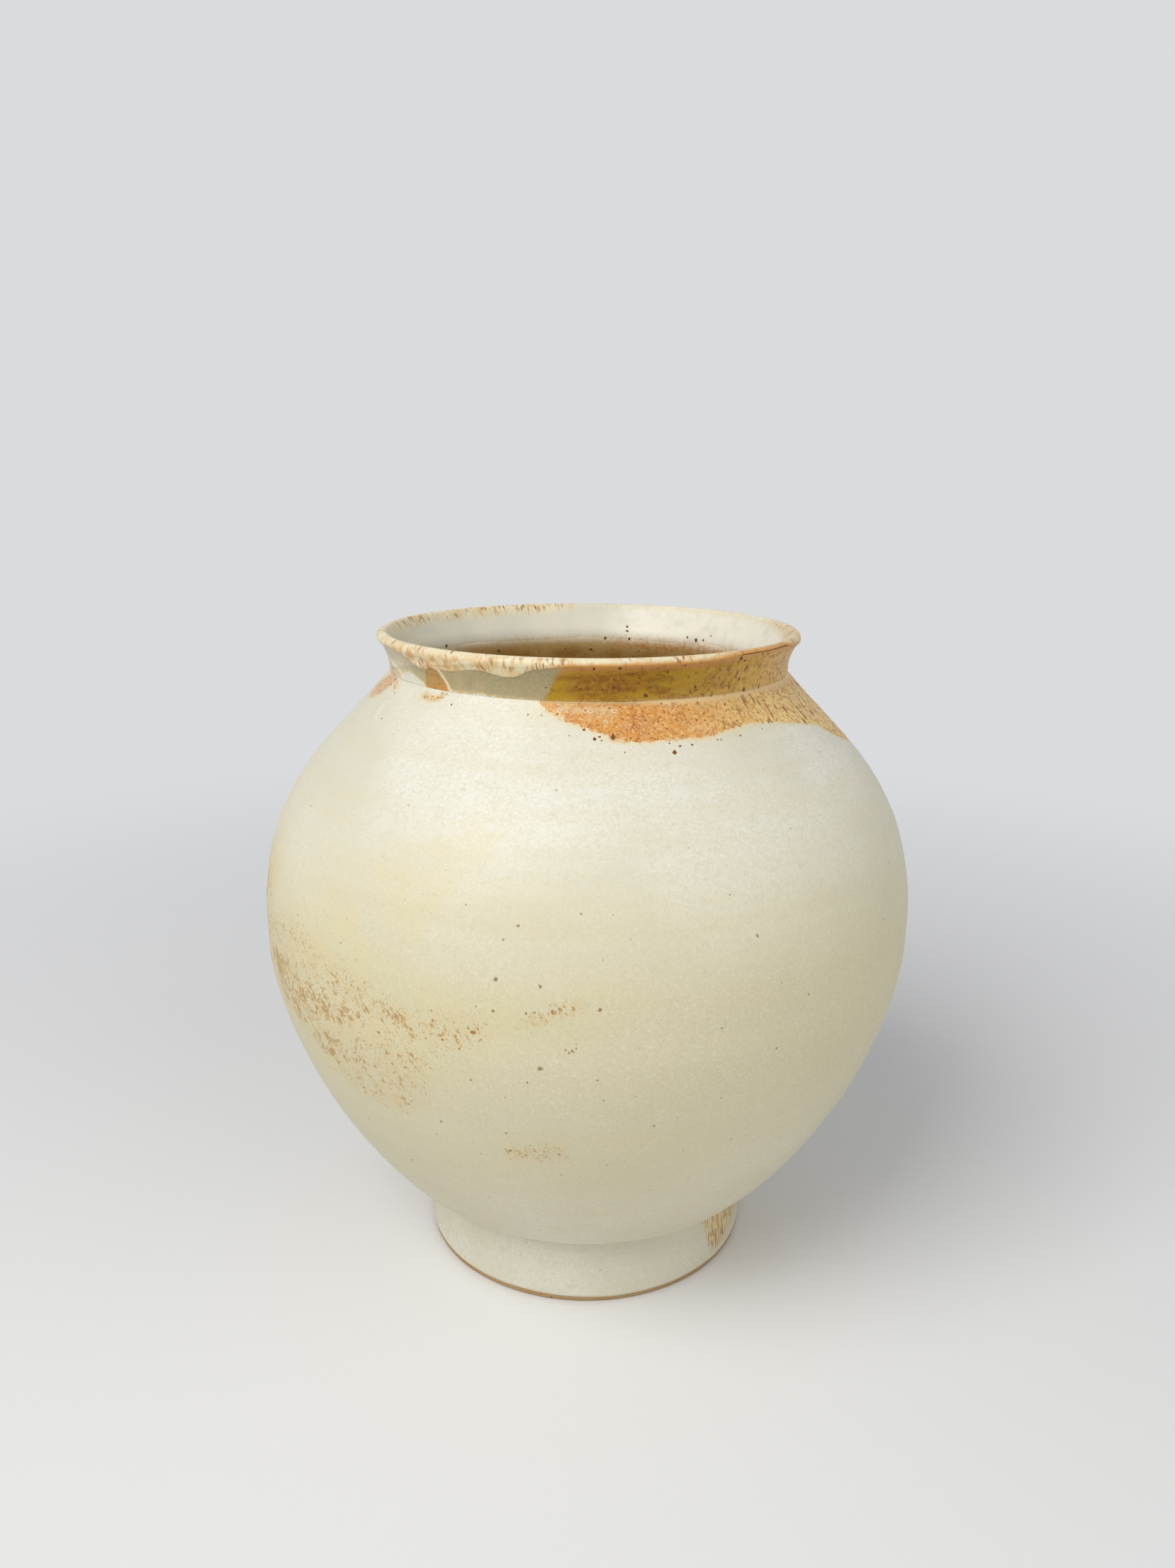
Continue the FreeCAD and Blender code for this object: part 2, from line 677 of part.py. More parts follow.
def make_lip_glaze():
    body = new_body("lip_glaze")
    section = Section(body, "lip_glaze_section")
    layers = ((OUTSIDE, INSIDE), (CLAY_OUTSIDE, CLAY_INSIDE))
    tops = [section.lip_points(depth)[2] for depth, _ in layers]
    edges = neck_arcs(section, LIP_GLAZE_EDGE, tops)
    bulges = []
    for edge, (depth, inner_depth) in zip(edges, layers):
        section.at_y(edge, edge.first, LIP_GLAZE_EDGE)
        _, _, at_throat = section.throat_points(inner_depth)
        bulge = section.over_lip(edge, depth, inner_depth, at_throat)
        section.upright_end(bulge, bulge.last)
        bulges.append(bulge)
    section.join(edges[0], edges[0].first, edges[1], edges[1].first)
    section.join(bulges[0], bulges[0].last, bulges[1], bulges[1].last)
    return turn(body, section)


def make_liner_glaze():
    body = new_body("liner_glaze")
    section = Section(body, "liner_glaze_section")
    floors = []
    throats = []
    layers = ((CLAY_INSIDE, FLOOR_HEIGHT), (INSIDE, f"({FLOOR_HEIGHT} + sizes.glaze_thickness)"))
    for depth, floor in layers:
        low_band, bottom = section.lower_inner("sizes.waist_height", floor, depth)
        high_band, throat = section.upper("sizes.waist_height", depth)
        floors.append(bottom)
        throats.append(throat)
    section.join(floors[0], floors[0].last, floors[1], floors[1].last)
    section.join(throats[0], throats[0].last, throats[1], throats[1].last)
    return turn(body, section)


def make_well_glaze():
    """The coat of the hollow under the jar: up the foot ring's inner wall and across the base."""
    edge = "sizes.bare_strip"
    slip_low = joint_below("sizes.foot_joint_height")
    roof = joint_above("sizes.foot_joint_height")
    coat_roof = f"({roof} - sizes.glaze_thickness)"
    return ring(
        "well_glaze",
        [
            (NOTHING, coat_roof),
            (well_wall(slip_low, "sizes.glaze_thickness"), coat_roof),
            (well_wall(edge, "sizes.glaze_thickness"), edge),
            (well_wall(edge, NOTHING), edge),
            (well_wall(slip_low, NOTHING), slip_low),
            (well_wall(slip_low, NOTHING), roof),
            (NOTHING, roof),
        ],
    )


pieces = [
    make_foot_ring(),
    make_foot_slip(),
    make_lower_bowl(),
    make_waist_slip(),
    make_upper_bowl(),
    make_neck_slip(),
    make_neck_collar(),
    make_outer_glaze(),
    make_shoulder_flash(),
    make_neck_glaze(),
    make_lip_glaze(),
    make_liner_glaze(),
    make_well_glaze(),
]
doc.recompute()

for item in doc.Objects:
    if "Invalid" in item.State or "Error" in item.State:
        raise RuntimeError(f"{item.Label} is in state {item.State}")
for piece in pieces:
    if piece.Shape.isNull() or not piece.Shape.isValid() or len(piece.Shape.Solids) != 1:
        raise RuntimeError(f"{piece.Label} has no valid single solid")

os.makedirs("parts", exist_ok=True)
for piece in pieces:
    piece.Shape.exportStep(os.path.join("parts", f"{piece.Label}.step"))
    box = piece.Shape.optimalBoundingBox(True, False)
    print(f"{piece.Label}: {box.XLength:.2f} x {box.YLength:.2f} x {box.ZLength:.2f} mm")
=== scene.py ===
# %% [markdown]
# # A moon jar, coat by coat
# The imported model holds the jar's clay, slip and glaze as plain turned solids. This lesson keeps their
# places and dresses them: the coats of glaze get their real, slightly uneven skins, their runs, flecks
# and colours. Every length is first written in millimetres, the potter's unit.

import math

import bmesh
import bpy
import numpy as np
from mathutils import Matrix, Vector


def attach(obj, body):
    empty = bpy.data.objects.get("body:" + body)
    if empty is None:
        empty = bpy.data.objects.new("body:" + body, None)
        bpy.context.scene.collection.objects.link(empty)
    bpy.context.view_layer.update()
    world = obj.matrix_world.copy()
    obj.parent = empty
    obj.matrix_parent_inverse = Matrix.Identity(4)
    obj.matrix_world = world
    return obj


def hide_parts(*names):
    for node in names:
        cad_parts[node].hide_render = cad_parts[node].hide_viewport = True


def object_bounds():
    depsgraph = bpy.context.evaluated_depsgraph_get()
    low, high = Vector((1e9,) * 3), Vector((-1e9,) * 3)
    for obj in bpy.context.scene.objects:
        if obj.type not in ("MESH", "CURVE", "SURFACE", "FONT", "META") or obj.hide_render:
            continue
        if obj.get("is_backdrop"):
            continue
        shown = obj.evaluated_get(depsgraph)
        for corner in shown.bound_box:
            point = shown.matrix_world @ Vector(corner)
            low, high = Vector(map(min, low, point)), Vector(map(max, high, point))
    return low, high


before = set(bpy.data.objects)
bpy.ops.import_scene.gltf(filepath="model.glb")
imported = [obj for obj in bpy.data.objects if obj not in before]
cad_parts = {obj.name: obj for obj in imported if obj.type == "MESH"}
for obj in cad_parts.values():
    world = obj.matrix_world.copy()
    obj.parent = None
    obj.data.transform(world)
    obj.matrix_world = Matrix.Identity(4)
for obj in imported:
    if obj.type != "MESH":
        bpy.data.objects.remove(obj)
cad_box = [list(map(float, corner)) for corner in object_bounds()]
MM = 0.001
print("nodes:", sorted(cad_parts))
print("box of the frame in mm:", [[round(v / MM, 1) for v in corner] for corner in cad_box])

# %% [markdown]
# ## The camera
# A camera is six numbers and a lens. The outlines of the lip, the belly and the foot fix them: the rings
# of a turned jar show as ellipses, and how flat each ellipse is tells how far the camera looks down. The
# focal length is held in pixels of the photograph, and one line turns it into Blender's millimetres.

# %% Place the camera
PHOTO_WIDTH, PHOTO_HEIGHT = 1658, 2212
FOCAL_PIXELS, SENSOR_WIDTH = 1662, 36
CAMERA_DISTANCE = 449.3
CAMERA_HEIGHT = 309.0
CAMERA_SIDE = -0.18
LOOKING_DOWN = math.radians(15.11)
ROLL = math.radians(0.328)

level = np.array([1.0, 0.0, 0.0])
forward = np.array([0.0, math.cos(LOOKING_DOWN), -math.sin(LOOKING_DOWN)])
upright = np.array([0.0, math.sin(LOOKING_DOWN), math.cos(LOOKING_DOWN)])
right = math.cos(ROLL) * level + math.sin(ROLL) * upright
above = math.cos(ROLL) * upright - math.sin(ROLL) * level
eye = np.array([CAMERA_SIDE, -CAMERA_DISTANCE, CAMERA_HEIGHT])

camera = bpy.data.objects.new("camera", bpy.data.cameras.new("camera"))
camera.data.sensor_width = SENSOR_WIDTH
camera.data.lens = FOCAL_PIXELS / PHOTO_HEIGHT * camera.data.sensor_width
placed = np.eye(4)
placed[:3] = np.column_stack([right, above, -forward, eye * MM])
camera.matrix_world = placed.T.tolist()
bpy.context.scene.collection.objects.link(camera)
bpy.context.scene.camera = camera
print("lens:", round(camera.data.lens, 2), "mm")

# %% [markdown]
# ## The finished profile
# A turned piece is one half section carried round an axis. The section could be a hand-drawn curve, but
# this jar was shaped by arcs that flow into each other, so it is built as the potter's rib would leave
# it: straight lines and arcs, each ending where the next begins. A point is (radius, height).

# %% Arcs and lines of the section
JAR_HEIGHT = 250.0
BELLY_RADIUS = 125.4
BELLY_LOW, BELLY_HIGH = 139.0, 146.2
BELLY_ARC = 92.0
LOWER_TURN_SHARE, SHOULDER_SLOPE_SHARE = 0.52, 1.483
HEEL_RADIUS, HEEL_ARC = 68.0, 14.0
FOOT_HEIGHT, FOOT_RADIUS, FOOT_TOP_RADIUS, FOOT_FILLET = 30.5, 66.2, 62.9, 3.0
THROAT_RADIUS, THROAT_HEIGHT, THROAT_FILLET = 75.4, 234.5, 2.5
FLARE_ARC, LIP_ROUNDING = 19.0, 2.0
WALL_DEPTH, FLOOR_HEIGHT, FLOOR_ROUNDING = 7.2, 33.6, 30.0
COAT = 0.6
ARC_POINTS = 121


def heading(degrees):
    """Unit vector in the half section, cos and sin of its angle above the outward direction."""
    return np.stack([np.cos(np.radians(degrees)), np.sin(np.radians(degrees))], -1)


def angle(vector):
    """Angle of a vector of the half section above the outward direction, in degrees."""
    return math.degrees(math.atan2(vector[1], vector[0]))


def bend(centre, radius, start, stop):
    """Arc: centre + radius (cos a, sin a), with a running from start to stop degrees."""
    return np.asarray(centre) + radius * heading(np.linspace(start, stop, ARC_POINTS))


lower_turn = LOWER_TURN_SHARE * angle((BELLY_LOW - FOOT_HEIGHT, BELLY_RADIUS - HEEL_RADIUS))
slope = SHOULDER_SLOPE_SHARE * angle((THROAT_HEIGHT - BELLY_HIGH, BELLY_RADIUS - THROAT_RADIUS))
taper = angle((FOOT_HEIGHT, FOOT_RADIUS - FOOT_TOP_RADIUS))
lean = math.radians(slope)

# The flank's arc starts where the belly's arc ends and touches the heel's arc from inside
belly_centre = np.array([BELLY_RADIUS - BELLY_ARC, BELLY_LOW])
heel_centre = np.array([HEEL_RADIUS, FOOT_HEIGHT + HEEL_ARC])
outward = heading(-lower_turn)
meeting = belly_centre + BELLY_ARC * outward
from_heel = meeting - heel_centre
flank_arc = (from_heel @ from_heel - HEEL_ARC**2) / (2 * (from_heel @ outward - HEEL_ARC))
flank_centre = meeting - flank_arc * outward

# The shoulder's arc is the one that joins the belly's upright band to the slope
rise, step = THROAT_HEIGHT - BELLY_HIGH, BELLY_RADIUS - THROAT_RADIUS
shoulder_arc = (rise * math.sin(lean) - step * math.cos(lean)) / (1 - math.cos(lean))
shoulder_centre = np.array([BELLY_RADIUS - shoulder_arc, BELLY_HIGH])
THROAT_LEVEL = THROAT_HEIGHT + THROAT_FILLET * math.tan(lean / 2)
throat_centre = np.array([THROAT_RADIUS + THROAT_FILLET, THROAT_LEVEL])
flare_centre = np.array([THROAT_RADIUS + FLARE_ARC, THROAT_LEVEL])
lip_height = JAR_HEIGHT - LIP_ROUNDING
lip_back = math.sqrt((FLARE_ARC + LIP_ROUNDING) ** 2 - (lip_height - THROAT_LEVEL) ** 2)
lip_centre = np.array([flare_centre[0] - lip_back, lip_height])

fillet_height = FOOT_HEIGHT - FOOT_FILLET
fillet_centre = np.array([
    FOOT_RADIUS - fillet_height * math.tan(math.radians(taper)) + FOOT_FILLET / math.cos(math.radians(taper)),
    fillet_height,
])
heel_top = angle(heel_centre - flank_centre)
print("slope under the neck:", round(slope, 2), "degrees; flank arc:", round(flank_arc, 1), "mm")

# %% [markdown]
# ## One line from the foot, over the lip, to the floor inside
# The outer skin and the inner skin are one unbroken line in the half section, which makes the coats easy:
# each is a stretch of that line, and its underside is the same stretch a coat's thickness deeper.

# %% Join the arcs into one line
knuckle_arc = THROAT_FILLET + WALL_DEPTH
between = lip_centre - throat_centre
apart = float(np.hypot(*between))
along_wall, across_wall = between / apart, np.array([-between[1], between[0]]) / apart
touch = (knuckle_arc - LIP_ROUNDING) / apart
funnel = angle(along_wall * touch + across_wall * math.sqrt(1 - touch**2))

inner_flank = flank_arc - WALL_DEPTH
drop = flank_centre[1] - FLOOR_HEIGHT - FLOOR_ROUNDING
floor_centre = flank_centre + np.array([math.sqrt((inner_flank - FLOOR_ROUNDING) ** 2 - drop**2), -drop])
floor_turn = angle(floor_centre - flank_centre)

outside = np.concatenate([
    [[FOOT_RADIUS, 0.0]],
    bend(fillet_centre, FOOT_FILLET, 180 + taper, 90),
    bend(heel_centre, HEEL_ARC, -90, heel_top),
    bend(flank_centre, flank_arc, heel_top, -lower_turn),
    bend(belly_centre, BELLY_ARC, -lower_turn, 0),
    bend(shoulder_centre, shoulder_arc, 0, slope),
    bend(throat_centre, THROAT_FILLET, 180 + slope, 180),
    bend(flare_centre, FLARE_ARC, 180, angle(lip_centre - flare_centre)),
])
rim = np.concatenate([
    bend(lip_centre, LIP_ROUNDING, angle(flare_centre - lip_centre), funnel),
    bend(throat_centre, knuckle_arc, funnel, 180),
])
inside = np.concatenate([
    bend(throat_centre, knuckle_arc, 180, 180 + slope),
    bend(shoulder_centre, shoulder_arc - WALL_DEPTH, slope, 0),
    bend(belly_centre, BELLY_ARC - WALL_DEPTH, 0, -lower_turn),
    bend(flank_centre, inner_flank, -lower_turn, floor_turn),
    bend(floor_centre, FLOOR_ROUNDING, floor_turn, -90),
    [[0.0, FLOOR_HEIGHT]],
])


def without_repeats(line):
    """The line with each point that repeats the one before it left out."""
    gaps = np.hypot(*np.diff(line, axis=0).T)
    return line[np.concatenate([[True], gaps > 1e-6])]


profile = without_repeats(np.concatenate([outside, rim, inside]))
way = np.concatenate([[0], np.cumsum(np.hypot(*np.diff(profile, axis=0).T))])
LIP_TOP = way[np.argmax(profile[:, 1])]
NECK_LENGTH = 60
in_neck = (way > LIP_TOP) & (way < LIP_TOP + NECK_LENGTH)
print("profile:", round(way[-1], 1), "mm long; widest", profile[:, 0].max(), "highest", profile[:, 1].max())


def place(at):
    """Radius and height on the profile at a length along it, between its points in proportion."""
    return np.stack([np.interp(at, way, profile[:, 0]), np.interp(at, way, profile[:, 1])], -1)


def normal(at):
    """Unit vector out of the jar's wall: the direction along the profile turned a quarter clockwise."""
    ahead = place(np.minimum(at + 0.05, way[-1])) - place(np.maximum(at - 0.05, 0))
    turned = np.stack([ahead[..., 1], -ahead[..., 0]], -1)
    return turned / np.linalg.norm(turned, axis=-1, keepdims=True)


on_the_outside = way <= LIP_TOP
rising = np.maximum.accumulate(profile[on_the_outside, 1]) + 1e-6 * np.arange(on_the_outside.sum())


def way_at(height):
    """Length along the outside at which a height is first reached."""
    return np.interp(height, rising, way[on_the_outside])


def way_inside(height):
    """Length along the inside of the neck at which a height is reached on the way down."""
    return np.interp(-np.asarray(height, float), -profile[in_neck, 1], way[in_neck])


# %% [markdown]
# ## From a pixel of the photograph to a place on the jar
# Marks in the glaze are named by where the photograph shows them. A ray leaves the camera through the
# pixel, and the first point where its distance from the jar's axis is less than the profile's radius at
# that height is the place: an azimuth (0 in front, growing to the right) and a length along the profile.

# %% Follow a ray to the jar
RAY_FROM, RAY_TO, RAY_STEP = 250, 620, 0.05
ray_lengths = np.arange(RAY_FROM, RAY_TO, RAY_STEP)


def seen(pixels, inside=False):
    """Azimuth in degrees and length along the profile where each pixel's ray first meets the outside.

    A ray is eye + t d, with the pixel's offset turned back by the roll. With `inside` the ray goes through
    the mouth, and meets the neck's far side where it is first beyond the inner radius."""
    offset = np.atleast_2d(np.asarray(pixels, float)) - (PHOTO_WIDTH / 2, PHOTO_HEIGHT / 2)
    rays = forward + (offset[:, :1] * right - offset[:, 1:] * above) / FOCAL_PIXELS
    rays /= np.linalg.norm(rays, axis=1, keepdims=True)
    points = eye + rays[:, None, :] * ray_lengths[None, :, None]
    radius, height = np.hypot(points[..., 0], points[..., 1]), points[..., 2]
    if inside:
        wall = np.interp(-height, -profile[in_neck, 1], profile[in_neck, 0])
        met = (points[..., 1] > 0) & (height < JAR_HEIGHT) & (radius > wall)
    else:
        met = radius < np.interp(height, rising, profile[on_the_outside, 0], left=0, right=0)
    hit = points[np.arange(len(points)), np.argmax(met, axis=1)]
    azimuth = np.degrees(np.arctan2(hit[:, 0], -hit[:, 1]))
    return azimuth, way_inside(hit[:, 2]) if inside else way_at(hit[:, 2])


print("middle of the front of the neck:", [np.round(v, 1) for v in seen([(829, 970)])])

# %% [markdown]
# ## Edges of the coats
# Glaze runs a little before it freezes, so its edges wave. Each edge is a height that changes with the
# azimuth: places named where the photograph shows it, a resting height elsewhere, and a smoothing
# over a degree or two so that the line flows.

# %% Wavy edges round the jar
EDGE_STEP, EASED_STEPS = 0.25, 12
EDGE_TURNS, EDGE_SHARES = np.array([7, 13, 22, 37]), (0.5, 0.35, 0.3, 0.25)
edge_steps = np.arange(-180, 180, EDGE_STEP)


def edge_round(pixels, rest, smooth, wave, seed):
    """Height as a function of azimuth: straight between named places and eased by a bell-shaped average.

    Where the camera doesn't see the edge, it rests at a height and waves a whole number of times round."""
    azimuth, at = seen(pixels)
    order = np.argsort(azimuth)
    azimuth, height = azimuth[order], place(at[order])[:, 1]
    unseen = (edge_steps < azimuth[0] - 4) | (edge_steps > azimuth[-1] + 4)
    azimuth = np.concatenate([[-180, azimuth[0] - 12], azimuth, [azimuth[-1] + 14, 180]])
    height = np.concatenate([[rest, rest], height, [rest, rest]])
    heights = np.interp(edge_steps, azimuth, height)
    phase = np.random.default_rng(seed).uniform(0, 2 * np.pi, 4)
    waves = np.cos(EDGE_TURNS[:, None] * np.radians(edge_steps) + phase[:, None]).T @ EDGE_SHARES
    heights = heights + wave * unseen * waves
    weights = np.exp(-0.5 * (np.arange(-EASED_STEPS, EASED_STEPS + 1) * EDGE_STEP / smooth) ** 2)
    padded = np.concatenate([heights[-EASED_STEPS:], heights, heights[:EASED_STEPS]])
    eased = np.convolve(padded, weights / weights.sum(), mode="valid")
    return lambda a: np.interp((a + 180) % 360 - 180, edge_steps, eased, period=360)


LIP_EDGE_PIXELS = [
    (567, 922), (580, 933), (596, 945), (611, 942), (628, 947), (642, 948), (661, 945), (679, 946),
    (697, 952), (707, 955), (720, 956), (732, 955), (743, 947), (764, 944), (787, 943), (800, 941),
    (854, 942), (907, 940), (950, 938), (988, 936), (1028, 929), (1054, 922), (1081, 918), (1108, 910),
]
NECK_BASE_PIXELS = [
    (578, 947), (592, 959), (599, 963), (603, 976), (631, 975), (640, 977), (661, 978), (684, 981),
    (707, 985), (730, 988), (752, 989), (764, 992), (800, 992), (860, 993), (907, 992), (950, 990),
    (1030, 982), (1060, 975), (1108, 961),
]
lip_edge = edge_round(LIP_EDGE_PIXELS, rest=246.6, smooth=1.0, wave=0.9, seed=3)
neck_base = edge_round(NECK_BASE_PIXELS, rest=235.4, smooth=0.9, wave=0.5, seed=5)
WIPED = 2.1


def foot_edge(azimuth):
    """Height of the wiped edge at the foot: a mean height and waves of whole numbers round the jar."""
    a = np.radians(azimuth)
    return WIPED + 0.14 * np.cos(3 * a + 1.0) + 0.10 * np.cos(7 * a + 2.2) + 0.06 * np.cos(17 * a)


print("lip glaze edge in front:", np.round(lip_edge(np.array([-40.0, -20.0, 0.0, 30.0])), 1))

# %% [markdown]
# ## Patches in the glaze
# A patch, such as the amber flash, is an outline on the skin. Its mask is the signed distance to that
# outline in millimetres, worked out for all vertices at once: the nearest edge gives the distance and
# the number of edges crossed gives the sign. A distance can be made ragged later by adding noise to it.

# %% Distance to a path and depth in an outline on the skin


def off_path(path, azimuth, at):
    """Distance in millimetres from a line of (azimuth, way) points on the unrolled skin."""
    azimuth, at = np.broadcast_arrays(azimuth, at)
    degree = np.radians(1) * place(at)[..., 0]
    nearest = np.full(at.shape, np.inf)
    for (a0, w0), (a1, w1) in zip(path[:-1], path[1:]):
        x0, y0, x1, y1 = (a0 - azimuth) * degree, w0 - at, (a1 - azimuth) * degree, w1 - at
        ex, ey = x1 - x0, y1 - y0
        share = np.clip(-(x0 * ex + y0 * ey) / (ex * ex + ey * ey), 0, 1)
        nearest = np.minimum(nearest, np.hypot(x0 + share * ex, y0 + share * ey))
    return nearest


def depth_in(outline, azimuth, at):
    """Millimetres inside a closed outline, negative outside: a point is inside if it crosses it an odd number
    of times on its way to the right."""
    closed = np.concatenate([outline, outline[:1]])
    inside_it = np.zeros(np.broadcast(azimuth, at).shape, bool)
    for (a0, w0), (a1, w1) in zip(closed[:-1], closed[1:]):
        spans = (w0 > at) != (w1 > at)
        level_azimuth = a0 + (at - w0) / np.where(spans, w1 - w0, 1) * (a1 - a0)
        inside_it ^= spans & (azimuth < level_azimuth)
    return np.where(inside_it, 1, -1) * off_path(closed, azimuth, at)


def outline_through(pixels):
    """The outline whose corners the photograph shows at these pixels."""
    return np.stack(seen(pixels), -1)


def outline_at(corners):
    """The outline through azimuths in degrees and heights in millimetres, where the camera doesn't see."""
    return np.array([(azimuth, way_at(height)) for azimuth, height in corners])


FLASH_FRONT_PIXELS = [
    (763, 992), (775, 1003), (792, 1013), (806, 1020), (826, 1026), (846, 1034), (866, 1044), (906, 1047),
    (940, 1043), (975, 1041), (1005, 1038), (1030, 1029), (1055, 1020), (1080, 1018), (1110, 1018),
    (1150, 1021), (1180, 1037),
]
flash_front = outline_through(FLASH_FRONT_PIXELS)
flash_behind = outline_at([(82, 209), (88, 210), (93, 216), (97, 225), (101, 233)])
flash_top = way_at(THROAT_LEVEL + 2.0)
flash_outline = np.concatenate([
    [[flash_front[0, 0] - 2, flash_top]], flash_front, flash_behind, [[flash_behind[-1, 0] + 1, flash_top]],
])
window = outline_through([
    (599, 945), (605, 940), (616, 941), (624, 953), (631, 968), (632, 974), (620, 977), (604, 977),
    (602, 967),
])
FLASH_START, FLASH_END = flash_outline[:, 0].min(), flash_outline[:, 0].max()
print("flash runs from", round(FLASH_START, 1), "to", round(FLASH_END, 1), "degrees")

# %% [markdown]
# ## Relief of the skin
# Thrown clay keeps faint rings from the fingers, and glaze pools and thins. On the real jar both are only
# tenths of a millimetre. A sum of slow waves, whose number round the jar is always whole so that they
# meet at the back, gives that unevenness. Runs of glaze are raised along a path: a bell shape across it.

# %% Unevenness, runs and ridges


def unevenness(azimuth, at, seed, count, turns, shortest):
    """Sum of waves cos(m a + 2 pi w / L + phase) over the root of their count.

    m is a whole number up to `turns`, and L runs from `shortest` to five times that."""
    rng = np.random.default_rng(seed)
    total = 0
    for _ in range(count):
        whole, length = rng.integers(0, turns + 1), shortest * rng.uniform(1, 5)
        total = total + np.cos(whole * np.radians(azimuth) + 2 * np.pi * at / length + rng.uniform(0, 6.28))
    return total / math.sqrt(count)


def bell(distance, width):
    """1 on the line, falling to 0.37 at `width` away: exp(-(d / width)^2)."""
    return np.exp(-((distance / width) ** 2))


def ease(low, top, value):
    """0 below low, 1 above top, and 3 t^2 - 2 t^3 between."""
    t = np.clip((value - low) / (top - low), 0, 1)
    return t * t * (3 - 2 * t)


def stretch(start, full, fading, end, azimuth):
    """1 from full to fading round the jar, easing to 0 at start and at end."""
    return ease(start, full, azimuth) * (1 - ease(fading, end, azimuth))


long_run = outline_through([(612, 941), (619, 945), (625, 954), (631, 963), (635, 972), (639, 979)])
side_run = outline_through([(552, 931), (560, 940), (566, 949), (569, 959), (567, 967)])
side_run_behind = outline_through([(547, 928), (551, 940), (556, 950), (557, 962)])
RUNS = ((long_run, 0.42, 0.75), (side_run, 0.38, 0.9), (side_run_behind, 0.3, 0.9))
crescent = outline_through([(528, 1011), (532, 1002), (538, 995), (547, 989)])
LUTING_HEIGHT, BODY_ENDS, NECK_RELIEF_FROM, NECK_STARTS = 236.6, 225, 228, 235
UNEVEN_MOST, SKIN_SUNK = 0.2, 0.21


def neck_relief(azimuth, at):
    """The luting ridge at the neck's base, round the right of the jar, and the runs on its left."""
    height = place(at)[..., 1]
    fading = stretch(-2, 22, 112, 130, azimuth) + 0.35 * ease(130, 150, np.abs(azimuth))
    ridge = 0.22 * bell(height - LUTING_HEIGHT - 0.25 * np.sin(np.radians(9 * azimuth)), 0.8) * fading
    return ridge + sum(lift * bell(off_path(path, azimuth, at), width) for path, lift, width in RUNS)


def skin(azimuth, at):
    """Lift of the finished skin over the plain profile, in millimetres: never above it at the belly."""
    height = place(at)[..., 1]
    body = 1 - ease(BODY_ENDS, NECK_STARTS, height)
    rings = 0.05 * unevenness(azimuth * 0, at, 11, 6, 0, 5.0) + 0.05 * unevenness(azimuth, at, 12, 9, 5, 22.0)
    dents = 0.04 * unevenness(azimuth, at, 13, 10, 14, 12.0)
    from_crescent = off_path(crescent, azimuth, at)
    bump = bell(from_crescent, 1.1) * ease(0.0, 2.0, 6.0 - from_crescent)
    lift = body * (np.clip(rings + dents, -UNEVEN_MOST, UNEVEN_MOST) - SKIN_SUNK) + bump
    return np.where(at < LIP_TOP, lift + np.where(height > NECK_RELIEF_FROM, neck_relief(azimuth, at), 0), 0)


# %% [markdown]
# ## Turning a coat
# A coat of glaze is a thin closed shell. Its section is a loop: up along the skin, then back along the
# same stretch a coat's thickness deeper. Carried round the axis as a grid it closes on itself both ways,
# so there are no seams. Columns run to the right as seen in front, which makes the faces look outwards.

# %% Keep values on the vertices, dress and measure a piece
MERGED_WITHIN = 1e-7


def keep(mesh, **values):
    """Store values on a mesh's vertices: one number each, or a vector for a pattern's own coordinates."""
    for name, value in values.items():
        kind, key = ("FLOAT_VECTOR", "vector") if value.ndim == 2 else ("FLOAT", "value")
        mesh.attributes.new(name, kind, "POINT").data.foreach_set(key, value.astype(np.float32).ravel())


def kept(mesh, name):
    """The numbers stored on a mesh's vertices under a name."""
    values = np.empty(len(mesh.vertices), np.float32)
    mesh.attributes[name].data.foreach_get("value", values)
    return values.astype(float)


def dress(name, mesh):
    """An object at the origin for a mesh: poles merged, shading smooth, riding on the jar."""
    work = bmesh.new()
    work.from_mesh(mesh)
    bmesh.ops.remove_doubles(work, verts=work.verts, dist=MERGED_WITHIN)
    work.to_mesh(mesh)
    work.free()
    mesh.shade_smooth()
    piece = bpy.data.objects.new(name, mesh)
    bpy.context.scene.collection.objects.link(piece)
    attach(piece, "root")
    return piece


def report(piece):
    """Print a piece's size in millimetres and its triangles."""
    points = np.empty(len(piece.data.vertices) * 3)
    piece.data.vertices.foreach_get("co", points)
    points = points.reshape(-1, 3) / MM
    triangles = sum(len(p.vertices) - 2 for p in piece.data.polygons)
    print(piece.name, np.round(np.ptp(points, axis=0), 2), "mm,", triangles, "triangles")


print("points closer than", MERGED_WITHIN / MM, "mm become one")

# %% Carry a loop round the axis


